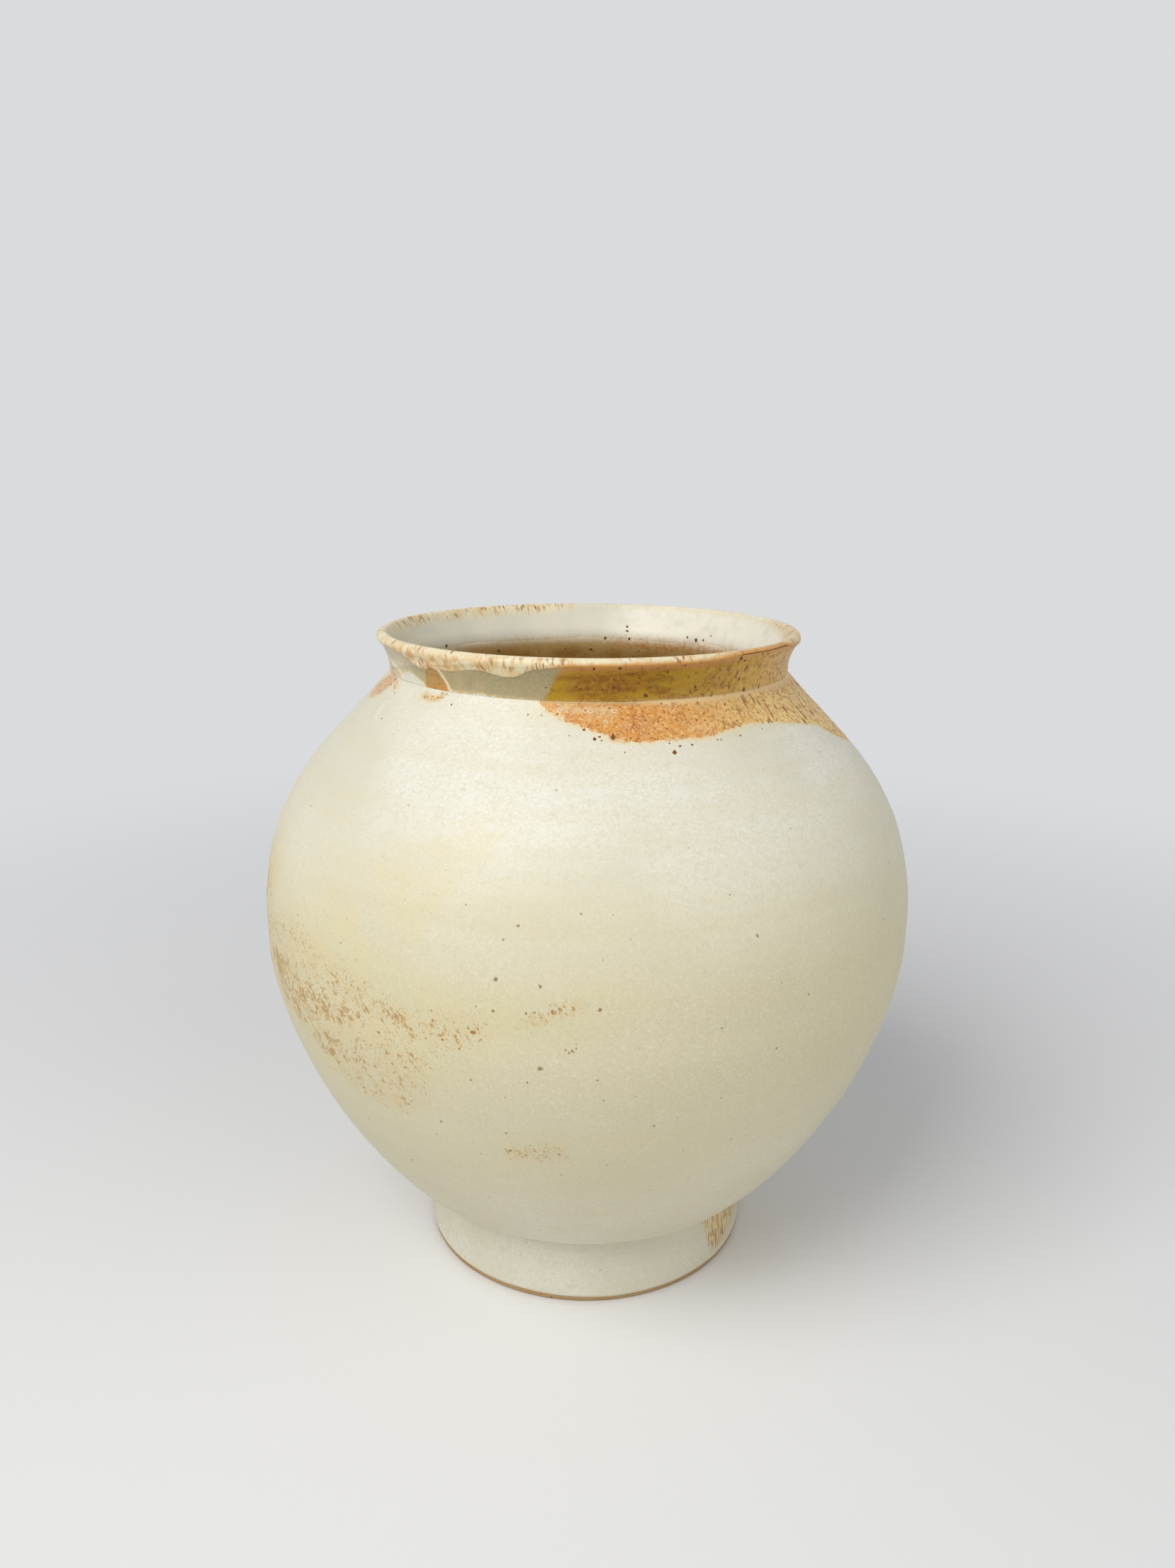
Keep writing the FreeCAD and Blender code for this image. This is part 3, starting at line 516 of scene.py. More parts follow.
def spin(name, radius, height, azimuth, whole_turn=True, at=None):
    """Vertex (i, j) = (r sin a, -r cos a, z) with r, z the loop's i-th point at the j-th azimuth.

    Where the length along the profile is given, it is kept on the vertices with the azimuth."""
    rows, columns = radius.shape
    a = np.radians(azimuth)[None, :]
    points = np.stack([radius * np.sin(a), -radius * np.cos(a), height], -1).reshape(-1, 3) * MM
    i = np.arange(rows)[:, None]
    j = np.arange(columns if whole_turn else columns - 1)[None, :]
    up, on = (i + 1) % rows, (j + 1) % columns
    quads = np.stack([i * columns + j, i * columns + on, up * columns + on, up * columns + j], -1)
    quads = quads.reshape(-1, 4)
    if not whole_turn:
        half = rows // 2
        k = np.arange(half - 1)
        near = np.stack([k, k + 1, rows - 2 - k, rows - 1 - k], -1) * columns
        quads = np.concatenate([quads, near, near[:, ::-1] + columns - 1])
    mesh = bpy.data.meshes.new(name)
    mesh.from_pydata(points.tolist(), [], quads.tolist())
    if at is not None:
        keep(mesh, way=at.ravel(), azimuth=np.broadcast_to(azimuth, radius.shape).ravel())
    return dress(name, mesh)


def coat(name, skin_rows, base_rows, azimuth, lift, base_depth=COAT, whole_turn=True):
    """A shell between the lifted skin on skin_rows and the same stretch base_depth deeper on base_rows."""
    a = azimuth[None, :] + 0 * skin_rows[:, :1]
    top = place(skin_rows) + normal(skin_rows) * lift(a, skin_rows)[..., None]
    bottom = place(base_rows) - normal(base_rows) * base_depth
    loop, at = np.concatenate([top, bottom[::-1]]), np.concatenate([skin_rows, base_rows[::-1]])
    return spin(name, loop[..., 0], loop[..., 1], azimuth, whole_turn, at)


def rows_between(low, top, shares):
    """Lengths along the profile from one edge to another, an edge being one length or one for each column."""
    return low * (1 - shares[:, None]) + top * shares[:, None]


def straight_rows(lengths, columns):
    """The same lengths along the profile for every column."""
    return np.repeat(lengths[:, None], columns, axis=1)


def spaced(stops, steps):
    """Lengths from the first stop to the last, at about one step apart in each stretch."""
    parts = [
        np.linspace(low, top, max(2, round((top - low) / step) + 1))[:-1]
        for low, top, step in zip(stops, stops[1:], steps)
    ]
    return np.concatenate(parts + [[stops[-1]]])


print("a coat is", COAT, "mm thick")

# %% [markdown]
# ## The cream coat
# The jar was dipped in a thick white glaze that covers body and foot down to a wiped strip of bare clay.
# Its skin carries the faint throwing rings. Under the amber flash it sinks by most of its thickness, so
# that the flash, a coat of its own, lies in a shallow bed and the two meet in a soft step.

# %% Turn the cream coat
BODY_COLUMNS = 480
HEEL_FROM, HEEL_TO, FLASH_LOW = 26, 36, 206
BED_DEPTH, TOE_DROP = 0.42, 0.4
toe_way = way_at(WIPED) + 1.6
throat_way = way_at(THROAT_LEVEL)


def cream_lift(azimuth, at):
    """The skin, sunk where the flash lies, and rounded off over the last millimetre at the foot."""
    bed = BED_DEPTH * ease(0.0, 1.6, depth_in(flash_outline, azimuth, at) - 0.2)
    toe = TOE_DROP * (1 - ease(0, 1.0, at - at[:1])) ** 2
    return skin(azimuth, at) - bed - toe


around = np.linspace(-180, 180, BODY_COLUMNS, endpoint=False)
cream_toe = way_at(foot_edge(around))
up_to_heel = [toe_way, way_at(HEEL_FROM), way_at(HEEL_TO)]
cream_ways = spaced([*up_to_heel, way_at(FLASH_LOW), throat_way], [2.6, 1.0, 2.3, 1.0])
cream_under = spaced([*up_to_heel, way_at(NECK_RELIEF_FROM), throat_way], [12.0, 1.0, 12.0, 4.0])
cream_rows = np.concatenate([
    rows_between(cream_toe, toe_way, np.array([0, 0.15, 0.35, 0.65])),
    straight_rows(cream_ways, BODY_COLUMNS),
])
cream_base = np.concatenate([cream_toe[None, :], straight_rows(cream_under, BODY_COLUMNS)])
cream_coat = coat("cream_coat", cream_rows, cream_base, around, cream_lift)
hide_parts("outer_glaze")
report(cream_coat)

# %% [markdown]
# ## The amber flash
# Where the white glaze lay thin under the neck, iron in the clay burnt through as amber crystals. It is a
# fine grid over the front and right of the shoulder. Inside its outline it stands at the skin, and past
# the outline it dives under the cream, so the visible edge is where the two skins cross.

# %% Lay the amber flash
FLASH_COLUMNS, FLASH_ROWS = 340, 78
FLASH_SUNK, DIVE_DEPTH = 0.02, 0.43


def flash_lift(azimuth, at):
    """At the skin inside the outline, most of a coat lower outside, with small lumps of crystals."""
    inside_by = depth_in(flash_outline, azimuth, at)
    lumps = 0.05 * unevenness(azimuth, at, 21, 14, 160, 1.6) * ease(0.5, 2.5, inside_by)
    dive = DIVE_DEPTH * (1 - ease(-1.0, 0.8, inside_by))
    ends = np.minimum(azimuth - azimuth[:, :1], azimuth[:, -1:] - azimuth)
    return skin(azimuth, at) - FLASH_SUNK + lumps - dive - 0.1 * (1 - ease(0, 2, ends))


flash_round = np.linspace(FLASH_START - 3, FLASH_END + 3, FLASH_COLUMNS)
flash_rows = straight_rows(np.linspace(way_at(FLASH_LOW), throat_way, FLASH_ROWS), FLASH_COLUMNS)
depth = COAT - FLASH_SUNK
flash_coat = coat("amber_flash", flash_rows, flash_rows, flash_round, flash_lift, depth, whole_turn=False)
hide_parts("shoulder_flash")
report(flash_coat)

# %% [markdown]
# ## The neck's band
# The short flared neck carries a thinner glaze that came out sage grey on the left and olive brown on the
# right. It needs the finest grid, because runs barely a millimetre wide hang from the lip, and a ridge of
# smeared slip circles its base.

# %% Turn the neck's band
NECK_COLUMNS, BAND_TOP = 1080, 248.6
neck_round = np.linspace(-180, 180, NECK_COLUMNS, endpoint=False)
neck_top = way_at(np.minimum(lip_edge(neck_round) + 1.6, BAND_TOP))


def neck_lift(azimuth, at):
    """The skin with its ridge and runs, and a faint ripple where the glaze gathered."""
    return skin(azimuth, at) + 0.03 * unevenness(azimuth, at, 31, 8, 30, 4.0)


neck_rows = rows_between(throat_way, neck_top, np.linspace(0, 1, 40))
neck_under = rows_between(throat_way, neck_top, np.linspace(0, 1, 5))
neck_coat = coat("neck_band", neck_rows, neck_under, neck_round, neck_lift)
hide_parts("neck_glaze")
report(neck_coat)

# %% [markdown]
# ## The glaze on the lip
# The lip was dipped once more, so a fat cream roll hangs over the neck's band and ends in a wavy, rounded
# edge with a sag or two. Inside, the same coat runs down the funnel of the neck to the throat.

# %% Roll the glaze over the lip
LIP_PROUD, PROUD_WITHIN, LIP_THINNER = 0.30, 0.8, 0.25
lip_start = way_at(lip_edge(neck_round))
inside_start = way_inside(THROAT_LEVEL)
lip_end = inside_start + 1.0


def lip_lift(azimuth, at):
    """A fat edge, 0.3 mm proud within 0.8 mm, level from the lip's top on, sunk under the liner's start."""
    from_edge = at - at[:1]
    to_top = LIP_TOP - 1.2 - at
    proud = LIP_PROUD * np.sqrt(np.clip(from_edge / PROUD_WITHIN, 0, 1)) * ease(0, 2.2, to_top)
    ripple = 0.05 * unevenness(azimuth, at, 41, 8, 40, 5.0) * ease(0, 2.0, to_top)
    funnel_ripple = 0.05 * (unevenness(azimuth, at, 42, 8, 16, 6.0) - 1.5) * ease(3.5, 8.0, at - LIP_TOP)
    sunk = 0.05 * (1 - ease(0, 0.3, from_edge)) + 0.15 * ease(-0.8, 1.0, at - inside_start)
    return skin(azimuth, at) * ease(0, 2.0, to_top) + proud + ripple + funnel_ripple - sunk


lip_rows = rows_between(lip_start, lip_end, np.linspace(0, 1, 74) ** 1.15)
lip_under = rows_between(lip_start, lip_end, np.linspace(0, 1, 15))
lip_coat = coat("lip_roll", lip_rows, lip_under, neck_round, lip_lift, COAT - LIP_THINNER)
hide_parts("lip_glaze")
report(lip_coat)

# %% [markdown]
# ## Inside and underneath
# The liner runs from the throat to the middle of the floor, where the grid's last row shrinks to a point.
# The hollow under the jar has a thin wash of the same cream. Both are closed shells as well.

# %% Turn the liner
INNER_COLUMNS = 360
inner_round = np.linspace(-180, 180, INNER_COLUMNS, endpoint=False)
liner_start = inside_start - 1


def liner_lift(azimuth, at):
    """Finger rings of the throwing, wider than outside, fading towards the middle of the floor."""
    fade = ease(1.0, 8.0, at - at[:1]) * ease(0.0, 40.0, at[-1:] - at)
    rings = 0.22 * unevenness(azimuth * 0, at, 51, 5, 0, 9.0)
    drift = 0.08 * unevenness(azimuth, at, 52, 8, 7, 20.0)
    return (rings + drift - 0.1) * fade - 0.15 * (1 - ease(-1.0, 0.8, at - inside_start))


liner_rows = straight_rows(spaced([liner_start, inside_start + 14, way[-1]], [0.8, 2.6]), INNER_COLUMNS)
liner_under = straight_rows(spaced([liner_start, way[-1]], [9.0]), INNER_COLUMNS)
liner_coat = coat("liner", liner_rows, liner_under, inner_round, liner_lift)
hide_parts("liner_glaze")
report(liner_coat)

# %% Turn the wash of the well
WELL_RADIUS, WELL_ROOF, WELL_ROUNDING = 55.5, 23.8, 3.0
CLAY_RADIUS, CLAY_ROOF = 56.1, 24.4
WELL_LEAN = 2.0 / 24.5
roof_corner = WELL_RADIUS - WELL_ROOF * WELL_LEAN - WELL_ROUNDING
wall_heights = np.linspace(WIPED, WELL_ROOF - WELL_ROUNDING, 12)
well_skin = without_repeats(np.concatenate([
    np.stack([WELL_RADIUS - wall_heights * WELL_LEAN, wall_heights], -1),
    bend((roof_corner, WELL_ROOF - WELL_ROUNDING), WELL_ROUNDING, 0, 90)[::12],
    np.stack([np.linspace(roof_corner, 0, 40), np.full(40, WELL_ROOF)], -1),
]))
well_back = [(0.0, CLAY_ROOF), (CLAY_RADIUS - CLAY_ROOF * WELL_LEAN, CLAY_ROOF),
             (CLAY_RADIUS - WIPED * WELL_LEAN, WIPED)]
well_loop = np.concatenate([well_skin, well_back])
rings_in_roof = 0.12 * unevenness(inner_round * 0, well_loop[:, :1] - 40, 61, 4, 0, 7.0)
on_roof = (np.abs(well_loop[:, 1:] - WELL_ROOF) < 1e-6) & (well_loop[:, :1] > 1)
well_coat = spin(
    "well_wash",
    straight_rows(well_loop[:, 0], INNER_COLUMNS),
    straight_rows(well_loop[:, 1], INNER_COLUMNS) - np.where(on_roof, 0.14 + rings_in_roof, 0),
    inner_round,
)
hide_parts("well_glaze")
report(well_coat)

# %% [markdown]
# ## The bare edge of the foot
# The foot's lowest edge was wiped clean so that the jar would not fuse to the kiln shelf. Bare stoneware
# is slightly rounded and uneven there. This ring stands for the plain one, with a worn, soft edge.

# %% Turn the foot ring
FOOT_JOINT, WORN, BARE_BELOW, RING_MIDDLE = 24.0, 1.0, 3, 61
foot_lean = (FOOT_RADIUS - FOOT_TOP_RADIUS) / FOOT_HEIGHT


def clay_wall(height):
    """Radius of the clay under the foot's coat at a height."""
    return FOOT_RADIUS - COAT / math.cos(math.radians(taper)) - height * foot_lean


rising_up = np.linspace(WORN + 0.2, FOOT_JOINT, 14)
coming_down = rising_up[::-1]
underside = np.linspace(CLAY_RADIUS + WORN, clay_wall(WORN) - WORN, 12)[1:-1]
foot_loop = np.concatenate([
    bend((clay_wall(WORN) - WORN, WORN), WORN, -90, 0)[::10],
    np.stack([clay_wall(rising_up), rising_up], -1),
    np.stack([CLAY_RADIUS - coming_down * WELL_LEAN, coming_down], -1),
    bend((CLAY_RADIUS + WORN, WORN), WORN, 180, 270)[::10],
    np.stack([underside, 0 * underside], -1),
])
bare = (foot_loop[:, 1:] < BARE_BELOW) & (foot_loop[:, 1:] > 1e-6)
worn_in = 0.05 * (unevenness(inner_round, foot_loop.sum(1)[:, None], 71, 10, 60, 9.0) - 2.2)
foot_piece = spin(
    "foot_ring_clay",
    foot_loop[:, :1] + np.where(bare, worn_in, 0) * np.sign(foot_loop[:, :1] - RING_MIDDLE),
    straight_rows(foot_loop[:, 1], INNER_COLUMNS),
    inner_round,
)
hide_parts("foot_ring")
report(foot_piece)

# %% [markdown]
# ## Specks
# Grains of iron and ash melt into the glaze as dark dots with a soft rim. The hundred or so that the
# photograph shows clearly are laid one by one: each is a tiny lens, a twentieth of a millimetre proud,
# with an outline made irregular by three waves. The countless smaller ones belong to the materials.

# %% Name the specks
# Each speck is its pixel's x and y and its width in millimetres
BODY_SPECKS = [
    (731, 1306, 1.2), (820, 1289, 0.8), (657, 1276, 0.7), (699, 1382, 1.9), (762, 1392, 1.6),
    (762, 1508, 2.0), (744, 1528, 0.9), (664, 1524, 1.0), (712, 1549, 0.6), (696, 1426, 0.8),
    (671, 1420, 0.7), (534, 1457, 1.3), (500, 1485, 1.3), (807, 1483, 1.0), (1116, 1168, 0.7),
    (1030, 1262, 0.7), (865, 1291, 0.6), (1069, 1320, 1.2), (1248, 1297, 0.9), (1254, 1217, 0.8),
    (1104, 1387, 0.6), (1142, 1403, 1.0), (847, 1425, 1.5), (1096, 1479, 1.0), (1205, 1480, 0.8),
    (1019, 1451, 0.9), (843, 1525, 0.9), (1018, 1550, 0.7), (720, 1624, 1.5), (714, 1599, 1.0),
    (789, 1629, 1.2), (616, 1600, 0.8), (622, 1583, 1.3), (582, 1637, 1.0), (792, 1658, 0.8),
    (691, 1689, 0.8), (519, 1578, 1.0), (576, 1558, 1.3), (923, 1589, 1.3), (964, 1624, 0.6),
    (742, 1430, 1.2), (754, 1429, 0.9), (779, 1428, 1.4), (789, 1424, 1.1), (571, 1506, 1.2),
    (553, 1501, 1.2), (480, 1330, 0.8), (423, 1323, 0.8), (420, 1291, 0.8), (1157, 1060, 0.6),
    (745, 1008, 0.7), (764, 1009, 0.6), (803, 1037, 0.6), (882, 1061, 0.7), (538, 1013, 0.9),
    (952, 1061, 2.0), (945, 1048, 0.8), (960, 1052, 1.1), (977, 1050, 1.1), (1013, 1043, 0.8),
    (1018, 1043, 0.8), (824, 1029, 1.3), (839, 1042, 1.5), (846, 1039, 1.0), (865, 1039, 2.2),
    (1085, 1018, 1.1), (1076, 1027, 0.7), (1127, 1018, 0.8), (1045, 1037, 1.0), (849, 1044, 0.7),
    (556, 969, 0.8), (557, 977, 0.8), (600, 984, 0.9), (631, 978, 1.2), (605, 969, 0.8), (637, 994, 1.0),
    (855, 1018, 0.9), (867, 1003, 0.7),
]
NECK_SPECKS = [
    (770, 970, 0.8), (838, 944, 1.3), (875, 943, 1.6), (942, 948, 1.4), (928, 943, 0.8), (902, 956, 1.1),
    (901, 964, 1.0), (916, 963, 0.8), (916, 970, 0.8), (911, 981, 1.9), (866, 970, 1.4), (850, 973, 0.9),
    (819, 972, 1.1), (814, 969, 0.8), (981, 969, 1.1), (983, 973, 0.9), (973, 977, 0.8), (1049, 972, 1.9),
    (1016, 945, 0.8), (967, 939, 0.9), (1007, 955, 1.0), (1000, 964, 0.8), (1046, 929, 1.9),
    (1051, 932, 1.5), (1076, 922, 1.0), (1100, 935, 1.2), (1043, 958, 1.3), (1091, 950, 1.2),
    (830, 956, 0.7), (880, 960, 0.8), (945, 972, 0.7), (858, 948, 0.7), (925, 957, 0.6), (893, 975, 0.6),
]
INNER_SPECKS = [
    (834, 916, 1.4), (885, 884, 1.3), (885, 890, 1.2), (888, 901, 1.2), (854, 900, 1.4), (982, 903, 1.6),
    (970, 899, 1.0), (992, 903, 1.0), (1003, 897, 0.7), (704, 918, 1.5), (630, 911, 1.6),
]
BLISTERS = [
    (790, 1002, 2.5), (826, 1002, 2.2), (833, 1003, 2.2), (867, 1003, 2.4), (855, 1018, 1.9),
    (945, 1044, 1.6),
]
ASH_BEADS = [
    (610, 1440, 1.2), (667, 1457, 2.2), (660, 1451, 1.1), (674, 1452, 1.0), (695, 1427, 1.2),
    (780, 1429, 1.7), (846, 1426, 1.3), (798, 1482, 0.9), (803, 1486, 1.0), (809, 1485, 0.9),
    (813, 1480, 0.8), (813, 1474, 0.7), (624, 1467, 1.2), (532, 1456, 0.9), (648, 1480, 1.0),
    (600, 1465, 0.8), (450, 1404, 1.4), (464, 1418, 1.2),
]
FLASH_REACH = 1100
tables = (BODY_SPECKS, NECK_SPECKS, INNER_SPECKS, BLISTERS, ASH_BEADS)
print("specks named:", sum(len(marks) for marks in tables))

# %% Shape a lens
SPECK_LIFT, SPECK_DEPTH, SPECK_SPOKES, SPECK_RINGS = 0.05, 0.08, 14, np.array([0.45, 0.8, 1.0])


def surface_point(azimuth, at, lift):
    """Point of the skin in space: the profile's point, lifted along its normal and turned to its azimuth."""
    flat_point = place(at) + normal(at) * np.asarray(lift)[..., None]
    a = np.radians(azimuth)
    return np.stack([flat_point[..., 0] * np.sin(a), -flat_point[..., 0] * np.cos(a), flat_point[..., 1]], -1)


def lay_specks(name, azimuth, at, width, lift, seed):
    """Lenses with rim R (1 + sum c cos(k t + p)), k from 2 to 4, raised in the middle and sunk at the rim."""
    rng = np.random.default_rng(seed)
    turn = np.linspace(0, 2 * np.pi, SPECK_SPOKES, endpoint=False)
    phases, sizes = rng.uniform(0, 2 * np.pi, (3, len(width), 1)), rng.uniform(0.05, 0.2, (3, len(width), 1))
    waves = sum(size * np.cos((k + 2) * turn + phase) for k, (size, phase) in enumerate(zip(sizes, phases)))
    longer = rng.uniform(0.85, 1.25, (len(width), 1))
    reach = (width[:, None] / 2 * (1 + waves))[:, None, :] * SPECK_RINGS[None, :, None]
    across = reach * np.cos(turn) / longer[:, None]
    a = azimuth[:, None, None] + np.degrees(across / place(at)[:, 0][:, None, None])
    w = at[:, None, None] + reach * np.sin(turn) * longer[:, None]
    crown = SPECK_LIFT * (1 - SPECK_RINGS[None, :, None] ** 2 * 1.6) + 0 * across
    rings = surface_point(a, w, lift(a, w) + crown)
    low_rings = surface_point(a[:, -1:], w[:, -1:], lift(a[:, -1:], w[:, -1:]) - SPECK_DEPTH)
    crowns = surface_point(azimuth, at, lift(azimuth, at) + SPECK_LIFT)
    bottoms = surface_point(azimuth, at, lift(azimuth, at) - SPECK_DEPTH)
    count, each = len(width), 2 + 4 * SPECK_SPOKES
    rings, low_rings = rings.reshape(count, -1, 3), low_rings.reshape(count, -1, 3)
    points = np.concatenate([crowns[:, None], rings, low_rings, bottoms[:, None]], axis=1).reshape(-1, 3)
    k = np.arange(SPECK_SPOKES)
    nxt = (k + 1) % SPECK_SPOKES
    top = np.stack([0 * k, 1 + k, 1 + nxt], -1)
    sides = [np.stack([r + k, r + SPECK_SPOKES + k, r + SPECK_SPOKES + nxt, r + nxt], -1)
             for r in 1 + SPECK_SPOKES * np.arange(3)]
    last = 1 + 3 * SPECK_SPOKES
    under = np.stack([0 * k + each - 1, last + nxt, last + k], -1)
    start = (np.arange(count) * each)[:, None, None]
    faces = [(f[None] + start).reshape(-1, f.shape[1]).tolist() for f in (top, *sides, under)]
    mesh = bpy.data.meshes.new(name)
    mesh.from_pydata((points * MM).tolist(), [], [face for group in faces for face in group])
    core = np.concatenate([[1.0], np.repeat(1 - SPECK_RINGS, SPECK_SPOKES), np.zeros(SPECK_SPOKES + 1)])
    keep(mesh, core=(core * rng.uniform(0.55, 1.0, (count, 1))).ravel())
    piece = dress(name, mesh)
    report(piece)
    return piece


print("a lens has", 5 * SPECK_SPOKES, "faces")

# %% Lay the specks


def marked(marks, inside=False):
    """Azimuths, lengths along the profile and widths of marks given as pixel x, pixel y and width in mm."""
    marks = np.array(marks, float)
    return *seen(marks[:, :2], inside), marks[:, 2]


def flat_lift(azimuth, at):
    """No lift, for grains that lie on the plain profile."""
    return 0.0 * azimuth * at


body = np.stack(marked(BODY_SPECKS))
below_throat = body[1] < throat_way
by_flash = np.array(BODY_SPECKS)[:, 1] < FLASH_REACH
iron_specks = lay_specks("iron_specks", *body[:, below_throat & ~by_flash], skin, 101)
flash_specks = lay_specks("flash_specks", *body[:, below_throat & by_flash], skin, 101)
neck_specks = lay_specks("neck_specks", *marked(NECK_SPECKS), neck_lift, 102)
inner_specks = lay_specks("inner_specks", *marked(INNER_SPECKS, inside=True), flat_lift, 103)
ash_beads = lay_specks("ash_beads", *marked(ASH_BEADS), skin, 105)
blisters = lay_specks("healed_blisters", *marked(BLISTERS), skin, 104)

# %% [markdown]
# ## Masks for the colours
# The colours of a glaze follow the way it was laid, so each coat carries masks on its vertices: how far a
# point is inside the amber, above the neck's base or above the lip's edge, in millimetres. The materials
# add noise to these distances, which turns a smooth boundary into a crawling, crystalline one.

# %% Where the glaze changes colour
olive_border = outline_through([(790, 945), (780, 960), (773, 972), (766, 991)])
border_height = place(olive_border[:, 1])[:, 1]
SAGE_AGAIN = 168


def olive_by(azimuth, at):
    """Millimetres past the border between sage and olive, and short of where it turns sage again behind."""
    start = np.interp(place(at)[..., 1], border_height[::-1], olive_border[::-1, 0])
    return np.radians(np.minimum(azimuth - start, SAGE_AGAIN - azimuth)) * THROAT_RADIUS


# Each area is the pixels of its corners, the most it covers and its softness in millimetres
ASH_AREAS = [
    ([(383, 1325), (398, 1345), (416, 1374), (444, 1398), (474, 1416), (506, 1434), (494, 1450), (455, 1436),
      (428, 1446), (404, 1410), (388, 1366)], 0.95, 2.5),
    ([(381, 1290), (412, 1300), (452, 1345), (505, 1388), (560, 1425), (650, 1440), (690, 1448), (660, 1474),
      (600, 1490), (590, 1550), (556, 1562), (500, 1530), (450, 1480), (425, 1440), (398, 1390)], 0.48, 7.0),
    ([(446, 1454), (472, 1460), (494, 1490), (480, 1504), (452, 1478)], 0.85, 3.0),
    ([(536, 1428), (584, 1430), (588, 1450), (540, 1453)], 0.8, 3.0),
    ([(556, 1450), (632, 1452), (634, 1472), (562, 1472)], 0.6, 3.0),
    ([(536, 1486), (580, 1492), (584, 1506), (542, 1508)], 0.5, 4.0),
    ([(500, 1520), (556, 1528), (584, 1552), (572, 1566), (524, 1544)], 0.55, 4.5),
    ([(730, 1448), (758, 1432), (815, 1412), (822, 1422), (780, 1438), (742, 1454)], 0.75, 3.0),
    ([(712, 1616), (798, 1620), (800, 1637), (716, 1633)], 0.55, 3.5),
]
STRAW_AREAS = [
    ([(381, 1280), (450, 1310), (560, 1370), (690, 1410), (850, 1405), (900, 1420), (860, 1445), (760, 1465),
      (680, 1490), (620, 1560), (560, 1570), (500, 1540), (430, 1470), (392, 1400)], 0.6, 9.0),
    ([(600, 1590), (720, 1600), (880, 1605), (1010, 1595), (1030, 1630), (900, 1645), (760, 1655),
      (640, 1645)], 0.5, 6.0),
    ([(390, 1340), (470, 1400), (560, 1425), (610, 1440), (590, 1475), (480, 1470), (410, 1440)], 0.9, 6.0),
]
behind_left = outline_at([
    (-66, 170), (-80, 175), (-105, 160), (-118, 140), (-104, 120), (-84, 118), (-66, 122),
])
foot_wash = outline_at([(43, 31), (96, 31), (92, 18), (74, 11), (58, 5), (50, 6), (47, 18)])


def strewn(areas, azimuth, at):
    """Density from 0 to 1: the largest of the areas' amounts, each eased over its softness in millimetres."""
    density = 0
    for pixels, most, soft in areas:
        depth = depth_in(outline_through(pixels), azimuth, at)
        density = np.maximum(density, most * ease(-soft, 0.6 * soft, depth))
    return density


print("the olive starts at", np.round(olive_border[:, 0], 1), "degrees")

# %% Paint the masks
NECK_RUNS = ((long_run, 0.8), (side_run, 1.2))
iron_streak = outline_through([(554, 942), (557, 951), (559, 960), (558, 970)])
rusty_patch = outline_through([
    (521, 983), (527, 971), (534, 963), (543, 955), (552, 948), (558, 954), (556, 964), (546, 971),
    (535, 979),
])
frost = outline_through([(788, 1001), (826, 1002), (862, 1004)])
brown_pool = outline_through([
    (800, 972), (812, 958), (850, 951), (898, 955), (914, 966), (884, 980), (824, 984),
])
straw_smudge = outline_through([(599, 981), (608, 985), (618, 985), (625, 981)])
painted = (cream_coat, flash_coat, neck_coat, lip_coat, liner_coat)
for piece in painted:
    mesh = piece.data
    azimuth, at = kept(mesh, "azimuth"), kept(mesh, "way")
    height = np.empty(len(mesh.vertices) * 3)
    mesh.vertices.foreach_get("co", height)
    height = height[2::3] / MM
    a = np.radians(azimuth)
    behind = 1 - ease(115, 160, azimuth)
    keep(
        mesh,
        amber=np.clip(depth_in(flash_outline, azimuth, at), -9, 9),
        above_base=np.clip(height - neck_base(azimuth), -20, 20),
        above_lip=np.where(at > LIP_TOP, 20, np.clip(height - lip_edge(azimuth), -20, 20)),
        unrolled=np.stack([THROAT_RADIUS * np.sin(a), -THROAT_RADIUS * np.cos(a), at], -1) * MM,
        to_right=ease(14, 56, azimuth) * behind,
        blushing=ease(-13, -5, azimuth) * behind,
        to_left=stretch(-130, -80, -36, -12, azimuth),
        far_left=stretch(-130, -95, -60, -46, azimuth),
    )
    if piece is cream_coat:
        left_end = depth_in(behind_left, azimuth, at)
        keep(
            mesh,
            ash=np.maximum(strewn(ASH_AREAS, azimuth, at), 0.7 * ease(-9, 9, left_end)),
            straw=np.maximum(strewn(STRAW_AREAS, azimuth, at), 0.7 * ease(-25, 5, left_end)),
            foot_wash=ease(-1.2, 1.2, depth_in(foot_wash, azimuth, at)),
        )
    if piece is not liner_coat:
        patch = 0.9 * ease(-2.0, 2.5, depth_in(rusty_patch, azimuth, at))
        keep(
            mesh,
            streak=np.maximum(bell(off_path(iron_streak, azimuth, at), 0.9), patch),
            smudge=bell(off_path(straw_smudge, azimuth, at), 1.3),
            olive=np.clip(olive_by(azimuth, at), -30, 200),
            run=np.max([bell(off_path(path, azimuth, at), width) for path, width in NECK_RUNS], axis=0),
            ridge=bell(height - neck_base(azimuth) - 0.1, 0.95) * ease(5, 22, azimuth) * behind,
            pool=ease(-4, 3, depth_in(brown_pool, azimuth, at)),
            window=np.clip(depth_in(window, azimuth, at), -9, 9),
            frost=bell(off_path(frost, azimuth, at), 2.0),
        )
    if piece in (lip_coat, liner_coat):
        keep(
            mesh,
            far_right=stretch(40, 70, 160, 178, azimuth),
            down_inside=np.clip(at - LIP_TOP, -12, 60),
            plain=ease(-1.5, 0.2, at - LIP_TOP) * (1 - stretch(-176, -166, 88, 118, azimuth)),
        )
print("masks painted on", sum(len(piece.data.vertices) for piece in painted), "points")

